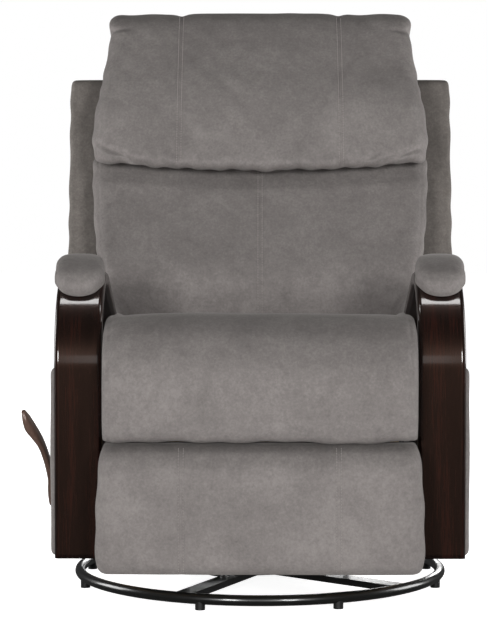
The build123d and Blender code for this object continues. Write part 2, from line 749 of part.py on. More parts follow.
def wing_outline(inner_x):
    """Front view of the wings: they widen a little towards the top."""
    if inner_x < 0:
        return Polygon((-wing_low_half_width, wing_bottom_v), (wing_low_half_width, wing_bottom_v),
                       (wing_top_half_width, wing_top_v), (-wing_top_half_width, wing_top_v), align=None)
    return Polygon((inner_x, wing_bottom_v), (wing_low_half_width, wing_bottom_v),
                   (wing_top_half_width, wing_top_v), (inner_x, wing_top_v), align=None)


def outer_back():
    """Padded rear face: wide between the wings, narrower below them and above them."""
    wide = wing_outline(-wing_top_half_width)
    wide = fillet(wide.vertices(), wing_corner)
    low_v, high_v = outer_panel_bottom_v, outer_panel_top_v
    tall = Pos(0, (low_v + high_v) / 2) * RectangleRounded(2 * shoulder_half_width, high_v - low_v, wing_corner)
    low_cut = Pos(0, (low_v + wing_bottom_v) / 2)
    trim = low_cut * Rectangle(2 * shoulder_half_width + 2, wing_bottom_v - low_v) - low_cut * Rectangle(
        2 * back_post_outer_x, wing_bottom_v - low_v)
    outline = wide + tall - trim
    panel = extrude(Plane.XZ * outline, amount=-outer_panel_thickness)
    put("outer_back_panel", tilt_back(Pos(0, back_rear, 0) * panel))


def wings():
    outline = wing_outline(back_post_outer_x)
    corners = [v for v in outline.vertices() if v.X > back_post_outer_x + 1]
    wing = extrude(Plane.XZ * fillet(corners, wing_corner), amount=-back_thickness)
    wing = Pos(0, back_front, 0) * wing
    front_edges = [e for e in wing.edges() if abs(e.center().Y - back_front) < 0.1
                   and e.center().X > back_post_outer_x + 1]
    wing = fillet(front_edges, 0.6 * wing_corner)
    for name, shape in zip(("wing_left", "wing_right"), both_sides(wing)):
        put(name, tilt_back(shape))


def back_cushion(bottom_v, top_v, half_width, depth, corner, seams, rows):
    """A cushion lofted up the back; a row is shares of its height, half width, depth and corner."""
    rear = back_front - SOFT_GAP
    height = top_v - bottom_v
    return tilt_back(loft([
        pad_ring(bottom_v + up * height, wide * half_width, rear - deep * depth, rear, round_share * corner, seams)
        for up, wide, deep, round_share in rows]))


def back_cushions():
    put("lumbar_cushion", back_cushion(
        lumbar_bottom_v, crease_v - crease_gap, lumbar_half_width, lumbar_depth, cushion_corner, (0,),
        ((0.0, 0.78, 0.34, 0.4), (0.08, 0.82, 0.62, 0.7), (0.17, 0.88, 0.84, 0.9), (0.27, 0.945, 0.96, 1.0),
         (0.45, 0.97, 1.0, 1.0), (0.70, 0.99, 1.0, 1.0), (0.90, 1.0, 0.92, 0.9), (1.0, 0.985, 0.78, 0.7))))
    put("head_pillow", back_cushion(
        crease_v, pillow_top_v, pillow_half_width, pillow_depth, cushion_corner, (pillow_seam_x, -pillow_seam_x),
        ((0.0, 0.94, 0.60, 0.6), (0.035, 0.975, 0.86, 0.9), (0.14, 1.0, 1.0, 1.1), (0.33, 0.985, 0.96, 1.1),
         (0.60, 0.95, 0.76, 1.0), (0.82, 0.92, 0.57, 0.9), (0.94, 0.91, 0.42, 0.6), (1.0, 0.88, 0.24, 0.35))))


# ---------------------------------------------------------------- lever
def lever():
    outer = -panel_outer_x - lever_panel_gap
    hub = rod(lever_pivot, outer - lever_hub_thickness, outer, lever_hub_radius)
    lean = math.radians(lever_lean)

    def section(share, width, thickness, flare):
        """Cross section of the wooden grip at a share of its length; the grip stands out as it rises."""
        y = lever_pivot[0] - share * lever_length * math.sin(lean)
        z = lever_pivot[1] + share * lever_length * math.cos(lean)
        x = outer - lever_hub_thickness / 2 - flare
        return Pos(x, y, z) * RectangleRounded(thickness, width, 0.35 * thickness)

    rows = (         # shares of length, width, thickness and flare
        (0.0, 1.1, 1.0, 0.0), (0.3, 1.0, 1.0, 0.12), (0.62, 0.9, 1.1, 0.50), (0.76, 1.05, 1.6, 0.74),
        (0.90, 1.0, 1.4, 0.93), (1.0, 0.7, 0.65, 1.0),
    )
    grip = loft([section(share, wide * lever_width, thick * lever_thickness, out * lever_flare)
                 for share, wide, thick, out in rows])
    crank_outer = -base_rail_inner_x + SOFT_GAP
    shaft_end = crank_outer + link_thickness
    socket = rod(lever_pivot, outer - lever_hub_thickness / 2, outer + 1, lever_shaft_radius)
    hub_face = outer - lever_hub_thickness
    screw = rod(lever_pivot, hub_face - lever_screw_head, hub_face, lever_screw_radius)
    crank_end = step_from(lever_pivot, crank_length, crank_angle)
    crank = link(lever_pivot, crank_end, crank_width, crank_outer, shaft_end, link_pin_radius)
    crank += rod(lever_pivot, crank_outer, shaft_end, lever_shaft_radius + crank_boss)
    crank -= rod(lever_pivot, crank_outer - 1, shaft_end + 1, lever_shaft_radius)
    put("lever_crank", crank)
    put("lever_handle", hub + grip - socket - screw)
    put("lever_shaft", rod(lever_pivot, outer - lever_hub_thickness / 2, shaft_end, lever_shaft_radius))
    put("lever_screw", screw)


# ---------------------------------------------------------------- build and write
for make in (floor_ring, floor_glides, swivel_bearing, swivel_centre, swivel_frame, glide_links,
             glider_platform, arms, base_frame, seat_frame, seat_springs, mechanism_plates, seat_slides,
             seat_cushion, footrest_links, footrest, back_frame, outer_back, wings, back_cushions, lever):
    make()

for name, solids in nodes.items():
    export_step(Compound(solids), f"parts/{name}.step")
print(len(nodes), "nodes,", sum(len(s) for s in nodes.values()), "solids")
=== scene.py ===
"""Dresses the swivel glider recliner: suede cushions, lacquered bentwood arms and enamelled steel.

Metres, in the frame of the CAD part: +Z up, the sitter faces -Y, the swivel axis at X = Y = 0.
Soft pieces are first laid out flat-on as (x, y, v): x across, y towards the sitter's back, v up
the piece, and are then leaned or moved to their place.
"""
import json
import math

import bmesh
import bpy
import numpy as np
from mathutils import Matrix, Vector
from mathutils.bvhtree import BVHTree


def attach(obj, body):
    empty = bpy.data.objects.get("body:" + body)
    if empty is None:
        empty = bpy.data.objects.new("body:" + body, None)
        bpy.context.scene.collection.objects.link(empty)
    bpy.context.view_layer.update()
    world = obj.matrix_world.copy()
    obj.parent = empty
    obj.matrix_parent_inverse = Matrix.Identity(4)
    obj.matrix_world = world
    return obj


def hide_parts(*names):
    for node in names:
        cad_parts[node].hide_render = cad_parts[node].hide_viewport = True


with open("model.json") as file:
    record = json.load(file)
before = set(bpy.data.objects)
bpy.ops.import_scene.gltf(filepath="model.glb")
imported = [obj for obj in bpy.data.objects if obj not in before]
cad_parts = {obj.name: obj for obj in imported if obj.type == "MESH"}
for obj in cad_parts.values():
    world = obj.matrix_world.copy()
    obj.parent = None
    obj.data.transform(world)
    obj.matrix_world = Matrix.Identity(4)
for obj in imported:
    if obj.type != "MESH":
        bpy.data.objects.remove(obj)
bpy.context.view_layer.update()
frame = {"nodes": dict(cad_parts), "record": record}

MM = 0.001
SEED = 7
BACK_TILT = math.radians(18.0)
RECLINE_PIVOT = (139 * MM, 292 * MM)        # (y, z)
ARM_SLOPE = math.radians(20.0)
ARM_CREST = math.pi / 2 + ARM_SLOPE
ARM_BEND_RADIUS, REAR_BEND_RADIUS = 165 * MM, 100 * MM
FRONT_BEND, REAR_BEND = (-215 * MM, 435 * MM), (50 * MM, 407.7 * MM)
ARM_MIDDLE = 320 * MM
LEVER_PIVOT = (-150 * MM, 184 * MM)
LEVER_LEAN = math.radians(26.0)
INTO_BACK = (0.0, math.cos(BACK_TILT), -math.sin(BACK_TILT))
CUSHION_REAR = 25.4 * MM                    # flat rear of the back cushions, ahead of the back's frame
SEAM_TO_STITCH = 4.2 * MM                   # each seam has a row of stitches at this distance on both sides
BEFORE_BACK, BEFORE_FOOTREST = -0.4, -0.9   # y from which lines of stitches are cast onto the cushions
FLOOR_GLOW_SEEN, FLOOR_GLOW_CAST = 0.88, 0.10
CAMERA_PLACE, CAMERA_LENS = (0.0, -4.32, 0.758), 130.3
CAMERA_DOWN, CAMERA_LEFT = math.radians(3.22), math.radians(0.407)


# ---------------------------------------------------------------- colour and node helpers
def linear(code):
    """sRGB hex colour to linear RGBA."""
    values = [int(code[i:i + 2], 16) / 255 for i in (1, 3, 5)]
    return tuple(v / 12.92 if v <= 0.04045 else ((v + 0.055) / 1.055) ** 2.4 for v in values) + (1.0,)


def add_node(tree, kind, links=(), **settings):
    """Adds a node. A setting named as an input socket fills it, any other is a property; links are
    (socket to fill, node, output) triples."""
    node = tree.nodes.new(kind)
    for key, value in settings.items():
        if hasattr(node, key):
            setattr(node, key, value)
        else:
            node.inputs[key.replace("_", " ")].default_value = value
    for socket, source, output in links:
        tree.links.new(source.outputs[output], node.inputs[socket])
    return node


def new_material(name, **surface):
    """An empty material with one Principled surface, whose even values are set on its own sockets."""
    material = bpy.data.materials.new(name)
    material.use_nodes = True
    tree = material.node_tree
    shader = tree.nodes["Principled BSDF"]
    for key, value in surface.items():
        shader.inputs[key.replace("_", " ")].default_value = value
    return material, tree, shader


def ramp(tree, source, output, stops):
    """A colour ramp over a 0 to 1 value; stops are (position, hex colour)."""
    node = add_node(tree, "ShaderNodeValToRGB", links=[("Fac", source, output)])
    elements = node.color_ramp.elements
    while len(elements) < len(stops):
        elements.new(0.5)
    for element, (position, code) in zip(elements, stops):
        element.position = position
        element.color = linear(code)
    return node


# ---------------------------------------------------------------- materials
def brushed_suede(name, stops):
    """Polyester microfibre suede, 0.2 mm pile brushed downwards: matt, with a soft sheen at the edges,
    cloudy patches some 60 to 100 mm wide where the pile lies the other way, and painted shade: the
    colour is darkened the more the cloth faces up, as if less of the light falls on it."""
    material, tree, shader = new_material(
        name, Roughness=0.92, IOR=1.45, Specular_IOR_Level=0.25,
        Sheen_Weight=0.16, Sheen_Roughness=0.38, Sheen_Tint=linear("#c4c0bc"))
    place = add_node(tree, "ShaderNodeTexCoord")
    clouds = add_node(tree, "ShaderNodeTexNoise", links=[("Vector", place, "Object")],
                      Scale=1 / 0.085, Detail=4.0, Roughness=0.62, Distortion=0.4)
    strokes = add_node(tree, "ShaderNodeTexNoise", links=[("Vector", place, "Object")],
                       Scale=1 / 0.014, Detail=5.0, Roughness=0.7)
    pile = add_node(tree, "ShaderNodeTexNoise", links=[("Vector", place, "Object")],
                    Scale=1 / 0.0045, Detail=3.0, Roughness=0.7)     # coarser than pile, so that it shows
    broad = add_node(tree, "ShaderNodeMix", data_type="FLOAT", Factor=0.45,
                     links=[("A", clouds, "Fac"), ("B", strokes, "Fac")])
    both = add_node(tree, "ShaderNodeMix", data_type="FLOAT", Factor=0.36,
                    links=[("A", broad, "Result"), ("B", pile, "Fac")])
    colours = ramp(tree, both, "Result", stops)
    facing = add_node(tree, "ShaderNodeSeparateXYZ", links=[("Vector", place, "Normal")])
    # painted shade: this ramp darkens the colour the more the surface faces up (normal Z), standing in for less light
    lie = ramp(tree, facing, "Z", ((0.0, "#ffffff"), (0.12, "#f9f9f9"), (0.35, "#e6e6e6"),
                                   (0.60, "#dedede"), (0.80, "#c9c9c9"), (1.0, "#c2c2c2")))
    shade_painted_colour = add_node(tree, "ShaderNodeMix", data_type="RGBA", blend_type="MULTIPLY", Factor=1.0)
    tree.links.new(colours.outputs["Color"], shade_painted_colour.inputs[6])
    tree.links.new(lie.outputs["Color"], shade_painted_colour.inputs[7])
    tree.links.new(shade_painted_colour.outputs[2], shader.inputs["Base Color"])
    fine = add_node(tree, "ShaderNodeBump", links=[("Height", pile, "Fac")], Strength=0.22, Distance=0.0006)
    nap = add_node(tree, "ShaderNodeBump", links=[("Height", strokes, "Fac"), ("Normal", fine, "Normal")],
                   Strength=0.25, Distance=0.0016)
    tree.links.new(nap.outputs["Normal"], shader.inputs["Normal"])
    return material


def lacquered_wood(name, stops, along_uv, gloss, grain_mm):
    """Stained veneer under lacquer: pores and streaks run along the piece, and a clear coat over
    them gives sharp highlights. The grain follows the V of the piece's own map, or Object Z."""
    material, tree, shader = new_material(
        name, Roughness=0.36, IOR=1.5, Specular_IOR_Level=0.36, Specular_Tint=linear("#a07a68"),
        Coat_Weight=0.8, Coat_Roughness=gloss, Coat_IOR=1.5)
    place = add_node(tree, "ShaderNodeTexCoord")
    source, stretch = ("UV", (1.0, 0.05, 1.0)) if along_uv else ("Object", (1.0, 1.0, 0.06))
    drawn = add_node(tree, "ShaderNodeMapping", links=[("Vector", place, source)], Scale=stretch)
    streaks = add_node(tree, "ShaderNodeTexNoise", links=[("Vector", drawn, "Vector")],
                       Scale=1000 / grain_mm, Detail=6.0, Roughness=0.62, Distortion=0.25)
    bands = add_node(tree, "ShaderNodeTexNoise", links=[("Vector", drawn, "Vector")],
                     Scale=1000 / (grain_mm * 9), Detail=3.0, Roughness=0.5)
    mixed = add_node(tree, "ShaderNodeMix", data_type="FLOAT", Factor=0.5,
                     links=[("A", streaks, "Fac"), ("B", bands, "Fac")])
    colours = ramp(tree, mixed, "Result", stops)
    tree.links.new(colours.outputs["Color"], shader.inputs["Base Color"])
    pores = add_node(tree, "ShaderNodeBump", links=[("Height", streaks, "Fac")], Strength=0.06, Distance=0.0003)
    tree.links.new(pores.outputs["Normal"], shader.inputs["Normal"])
    return material


def coated_steel(name, code, roughness, metallic=0.0, peel_mm=1.6, coat=0.0):
    """Steel under powder coat or enamel: an even colour with a faint orange peel."""
    material, tree, shader = new_material(name, Base_Color=linear(code), Metallic=metallic, Coat_Weight=coat,
                                          Coat_Roughness=0.12)
    place = add_node(tree, "ShaderNodeTexCoord")
    peel = add_node(tree, "ShaderNodeTexNoise", links=[("Vector", place, "Object")],
                    Scale=1000 / peel_mm, Detail=2.0)
    wear = add_node(tree, "ShaderNodeTexNoise", links=[("Vector", place, "Object")], Scale=1 / 0.03, Detail=4.0)
    spread = add_node(tree, "ShaderNodeMapRange", links=[("Value", wear, "Fac")],
                      To_Min=roughness - 0.07, To_Max=roughness + 0.07)
    tree.links.new(spread.outputs["Result"], shader.inputs["Roughness"])
    bump = add_node(tree, "ShaderNodeBump", links=[("Height", peel, "Fac")], Strength=0.12, Distance=0.0002)
    tree.links.new(bump.outputs["Normal"], shader.inputs["Normal"])
    return material


def sawn_timber():
    """Planed pine and plywood of the hidden frame: pale, with rings drawn along X."""
    material, tree, shader = new_material("planed_frame_timber", Roughness=0.7, IOR=1.5)
    place = add_node(tree, "ShaderNodeTexCoord")
    drawn = add_node(tree, "ShaderNodeMapping", links=[("Vector", place, "Object")], Scale=(0.12, 1.0, 1.0))
    rings = add_node(tree, "ShaderNodeTexNoise", links=[("Vector", drawn, "Vector")],
                     Scale=1 / 0.012, Detail=6.0, Distortion=1.2)
    colours = ramp(tree, rings, "Fac", ((0.3, "#9c7b52"), (0.55, "#b8966a"), (0.75, "#c9aa80")))
    tree.links.new(colours.outputs["Color"], shader.inputs["Base Color"])
    bump = add_node(tree, "ShaderNodeBump", links=[("Height", rings, "Fac")], Strength=0.15, Distance=0.0004)
    tree.links.new(bump.outputs["Normal"], shader.inputs["Normal"])
    return material


def sewing_thread():
    """Spun polyester thread, a shade lighter than the suede."""
    material, tree, shader = new_material("spun_polyester_thread", Roughness=0.75, Sheen_Weight=0.3)
    place = add_node(tree, "ShaderNodeTexCoord")
    twist = add_node(tree, "ShaderNodeTexNoise", links=[("Vector", place, "Object")], Scale=1 / 0.0015)
    colours = ramp(tree, twist, "Fac", ((0.3, "#726b68"), (0.7, "#847d79")))
    tree.links.new(colours.outputs["Color"], shader.inputs["Base Color"])
    return material


suede = brushed_suede("brushed_microfibre_suede", ((0.26, "#5c5856"), (0.50, "#736e6c"), (0.74, "#8a8582")))
# painted shade: a darker copy of the same suede, for the wings and covers that sit in the cushions' shade
shade_darkened_suede = brushed_suede("shade_darkened_microfibre_suede", ((0.26, "#4b4643"), (0.50, "#65605c"), (0.74, "#7f7974")))
thread = sewing_thread()
arm_wood = lacquered_wood("espresso_lacquered_bentwood", ((0.32, "#080403"), (0.50, "#110806"), (0.70, "#2a110c")),
                          along_uv=True, gloss=0.10, grain_mm=3.0)
lever_wood = lacquered_wood("brown_lacquered_beech", ((0.30, "#4a3830"), (0.50, "#5e4a41"), (0.72, "#70594e")),
                            along_uv=False, gloss=0.22, grain_mm=2.5)
ring_paint = coated_steel("black_powder_coat", "#121211", 0.30, coat=0.6)
mechanism_paint = coated_steel("black_stove_enamel", "#17171a", 0.42)
zinc = coated_steel("bright_zinc_plate", "#a9abad", 0.34, metallic=1.0)
spring_wire = coated_steel("oiled_spring_wire", "#4d4b48", 0.4, metallic=1.0)
foot_plastic = coated_steel("moulded_black_nylon", "#101010", 0.5)
cap_paint = coated_steel("bronze_painted_caps", "#2a1712", 0.35, metallic=0.4)
timber = sawn_timber()

finishes = {"floor_steel": ring_paint, "glide_plastic": foot_plastic, "bright_steel": zinc,
            "mechanism_steel": mechanism_paint, "spring_steel": spring_wire, "bolt_cap": cap_paint,
            "frame_timber": timber, "bentwood": arm_wood, "lever_wood": lever_wood, "suede": suede}
for part in frame["record"]["subparts"]:
    if part["material_slot"] in finishes:
        slots = frame["nodes"][part["node"]].data.materials
        slots.clear()
        slots.append(finishes[part["material_slot"]])


# ---------------------------------------------------------------- mesh helpers
def mesh_object(name, points, faces, material, uv=None, flat=0):
    """A smooth mesh object from an (n, 3) array and a list of faces, the last few of them flat
    shaded; uv is one pair for each point."""
    mesh = bpy.data.meshes.new(name)
    mesh.from_pydata(np.asarray(points, float), [], faces if isinstance(faces, list) else faces.tolist())
    if uv is not None:
        corners = np.empty(len(mesh.loops), np.int32)
        mesh.loops.foreach_get("vertex_index", corners)
        layer = mesh.uv_layers.new(name="along")
        layer.data.foreach_set("uv", np.asarray(uv, np.float32)[corners].ravel())
    mesh.polygons.foreach_set("use_smooth", np.arange(len(mesh.polygons)) < len(mesh.polygons) - flat)
    mesh.materials.append(material)
    mesh.update()
    made = bpy.data.objects.new(name, mesh)
    bpy.context.scene.collection.objects.link(made)
    return made


def grid_faces(rows, columns, close_columns=False):
    """Quads of a grid stored row by row."""
    r = np.arange(rows - 1)[:, None]
    c = np.arange(columns if close_columns else columns - 1)[None, :]
    r2, c2 = r + 1, (c + 1) % columns
    quads = np.stack([r * columns + c, r * columns + c2, r2 * columns + c2, r2 * columns + c], axis=-1)
    return quads.reshape(-1, 4)


def tube_faces(rows, columns):
    """Faces of a closed tube stored ring by ring, with a flat cap at each end, the caps last."""
    faces = grid_faces(rows, columns, close_columns=True).tolist()
    return faces + [list(range(columns))[::-1], list(range((rows - 1) * columns, rows * columns))]


def outward(obj, merge=0.00005):
    """Merges doubles and turns all faces outwards."""
    work = bmesh.new()
    work.from_mesh(obj.data)
    bmesh.ops.remove_doubles(work, verts=work.verts, dist=merge)
    bmesh.ops.recalc_face_normals(work, faces=work.faces)
    work.to_mesh(obj.data)
    work.free()
    return obj


def apply_modifiers(obj):
    """Bakes the live modifiers into the mesh."""
    graph = bpy.context.evaluated_depsgraph_get()
    baked = bpy.data.meshes.new_from_object(obj.evaluated_get(graph))
    old = obj.data
    obj.modifiers.clear()
    obj.data = baked
    baked.name = obj.name
    bpy.data.meshes.remove(old)
    return obj


def subdivide(obj, levels=1):
    """Subdivision surface, as a live modifier."""
    modifier = obj.modifiers.new("subdivision", "SUBSURF")
    modifier.levels = modifier.render_levels = levels
    return obj


def finish(obj, body, *replaced, slot="suede", fill=None):
    """Attaches the piece to the body it rides on and hides what it replaces; slot and fill are not used."""
    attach(obj, body)
    if replaced:
        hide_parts(*replaced)
    return obj


# ---------------------------------------------------------------- padded shells
def rounded_box(half, depth, height, front, ends, step, square=(4.5, 4.5), rear=8 * MM):
    """Points and quads of a box that fills x from -half to half, y from -depth to 0 and v from 0 to
    height. front is the rounding of its front edges along y; ends are the roundings of its sides
    along x, its foot along v and its top along v; rear is the small rounding along its flat back.

    Each of the six sides is a grid. A point is clamped into the box shrunk by the roundings, and
    the rest of its way is set to unit length, in a measure that is round from front to side and
    squarer in the corners of the front view, by the exponents square at the foot and at the top.
    """
    side, foot, top = ends
    low = np.array([-half, -depth, 0.0])
    high = np.array([half, 0.0, height])
    counts = np.maximum(((high - low) / step).astype(int), 8)
    sheets, quads, start = [], [], 0
    for axis in range(3):
        u, w = [i for i in range(3) if i != axis]
        a, b = np.meshgrid(np.linspace(low[u], high[u], counts[u] + 1),
                           np.linspace(low[w], high[w], counts[w] + 1), indexing="ij")
        for face in (low, high):
            sheet = np.empty(a.shape + (3,))
            sheet[..., u], sheet[..., w], sheet[..., axis] = a, b, face[axis]
            sheets.append(sheet.reshape(-1, 3))
            quads.append(grid_faces(a.shape[0], a.shape[1]) + start)
            start += a.size
    points = np.concatenate(sheets)
    share = -points[:, 1] / depth                     # 0 at the rear, 1 at the front
    ahead = share > 0.5
    narrow = rear + (1 - rear / side) * side * smooth_step(share, 0.0, 1.0)
    rounding = np.stack([
        narrow,
        np.where(ahead, front, rear),
        np.where(points[:, 2] > height / 2, top, foot) * narrow / side], axis=1)
    core = np.clip(points, low + rounding, high - rounding)
    away = (points - core) / rounding
    power = np.where(points[:, 2] > height / 2, square[1], square[0])
    flat = (np.abs(away[:, 0]) ** power + np.abs(away[:, 2]) ** power) ** (1 / power)
    length = np.hypot(flat, away[:, 1])[:, None]
    return core + rounding * away / np.maximum(length, 1e-9), np.concatenate(quads)


def valley(distance, width, depth):
    """A rounded groove: depth times exp(-(distance / width)^2)."""
    return depth * np.exp(-(distance / width) ** 2)


def fold(x, v, start, end, width, depth, ridge=0.3):
    """A groove along the segment from start to end that fades to nothing at both ends, with a low
    ridge on its left: depth times sin(pi s)^0.7 times exp(-(off / width)^2), less ridge times a bell
    1.2 times as wide and 1.7 widths off, where off is the way off the segment and s the share of the
    way along it."""
    (x0, v0), (x1, v1) = start, end
    length = math.hypot(x1 - x0, v1 - v0)
    dx, dv = (x1 - x0) / length, (v1 - v0) / length
    s = ((x - x0) * dx + (v - v0) * dv) / length
    off = (x - x0) * dv - (v - v0) * dx
    fade = np.sin(np.pi * np.clip(s, 0, 1)) ** 0.7
    beside = np.exp(-((off + 1.7 * width) / (1.2 * width)) ** 2)
    return depth * (np.exp(-(off / width) ** 2) - ridge * beside) * fade


def softness(x, v, amount, size, seed):
    """Slow unevenness of stuffing: nine plane waves of length size to 2 size, summed, over three."""
    dice = np.random.default_rng(SEED + seed)
    total = np.zeros_like(x)
    for _ in range(9):
        turn, phase, scale = dice.uniform(0, 2 * np.pi, 2).tolist() + [dice.uniform(1, 2)]
        total += np.sin(2 * np.pi * (x * math.cos(turn) + v * math.sin(turn)) / (size * scale) + phase)
    return amount * total / 3


def smooth_step(value, low, high):
    """0 below low, 1 above high, and 3 t^2 - 2 t^3 between."""
    t = np.clip((value - low) / (high - low), 0, 1)
    return t * t * (3 - 2 * t)


def profile(v, table):
    """Smooth curve through a table of (v, value): a cubic Hermite with slopes by finite difference."""
    at, value = np.array(table).T
    slope = np.gradient(value, at)
    i = np.clip(np.searchsorted(at, v) - 1, 0, len(at) - 2)
    gap = at[i + 1] - at[i]
    t = np.clip((v - at[i]) / gap, 0, 1)
    return ((1 + 2 * t) * (1 - t) ** 2 * value[i] + t * (1 - t) ** 2 * gap * slope[i]
            + t * t * (3 - 2 * t) * value[i + 1] + t * t * (t - 1) * gap * slope[i + 1])


def leaned(points):
    """From the back's own frame to the chair: turned back by the tilt, then up at the pivot."""
    x, y, v = points.T
    c, s = math.cos(BACK_TILT), math.sin(BACK_TILT)
    return np.stack([x, RECLINE_PIVOT[0] + y * c + v * s, RECLINE_PIVOT[1] - y * s + v * c], axis=1)


def back_line(across, up):
    """Points before the back cushions at this x and at these heights in the back's own frame."""
    return leaned(np.stack([np.full_like(up, across), np.full_like(up, BEFORE_BACK), up], axis=1))


# ---------------------------------------------------------------- stitching
def surface_line(obj, points, direction):
    """Where rays from the points along the direction first meet the mesh: places and normals."""
    graph = bpy.context.evaluated_depsgraph_get()
    tree = BVHTree.FromObject(obj, graph)
    hits = [tree.ray_cast(Vector(p), Vector(direction)) for p in points]
    kept = [(hit[0], hit[1]) for hit in hits if hit[0] is not None]
    return np.array([p for p, _ in kept]), np.array([n for _, n in kept])


def stitches(name, obj, points, direction, body, pitch=5.2 * MM, radius=0.55 * MM):
    """A row of thread stitches laid on the piece: six-sided spindles along the line, one a pitch."""
    places, normals = surface_line(obj, points, direction)
    gaps = np.linalg.norm(np.diff(places, axis=0), axis=1)
    run = np.concatenate([[0], np.cumsum(gaps)])
    marks = np.arange(pitch / 2, run[-1], pitch)

    def along(values, at):
        return np.stack([np.interp(at, run, values[:, i]) for i in range(3)], axis=1)

    centre = along(places, marks)
    heading = along(places, marks + pitch / 3) - along(places, marks - pitch / 3)
    heading /= np.linalg.norm(heading, axis=1, keepdims=True)
    normal = along(normals, marks)
    normal /= np.linalg.norm(normal, axis=1, keepdims=True)
    side = np.cross(heading, normal)
    stations = np.array([-0.40, -0.26, 0.26, 0.40]) * pitch
    widths = np.array([0.25, 1.0, 1.0, 0.25]) * radius
    lift = np.array([-0.9, 0.35, 0.35, -0.9]) * radius
    turn = np.arange(6) * np.pi / 3
    ring = (np.cos(turn)[None, :, None, None] * side[None, None]
            + np.sin(turn)[None, :, None, None] * normal[None, None])
    spots = (centre[None, None] + stations[:, None, None, None] * heading[None, None]
             + lift[:, None, None, None] * normal[None, None] + widths[:, None, None, None] * ring)
    spots = spots.transpose(2, 0, 1, 3)                        # stitch, station, side, xyz
    count = len(marks)
    body_faces = grid_faces(4, 6, close_columns=True)
    faces = (body_faces[None] + (np.arange(count) * 24)[:, None, None]).reshape(-1, 4)
    caps = np.array([[5, 4, 3, 2, 1, 0], [18, 19, 20, 21, 22, 23]])
    caps = (caps[None] + (np.arange(count) * 24)[:, None, None]).reshape(-1, 6)
    row = outward(mesh_object(name, spots.reshape(-1, 3), faces.tolist() + caps.tolist(), thread), merge=1e-7)
    finish(row, body)


def panel_stitches(prefix, obj, seam_at, line_at, direction, body):
    """Both rows of stitches beside the seams at x = -seam_at and seam_at; line_at gives the points
    that are cast onto the piece for a row at this x."""
    for centre, side in ((-seam_at, "left"), (seam_at, "right")):
        for offset in (-SEAM_TO_STITCH, SEAM_TO_STITCH):
            edge = "inner" if offset * centre < 0 else "outer"
            stitches(f"{prefix}_stitching_{side}_{edge}", obj, line_at(centre + offset), direction, body)


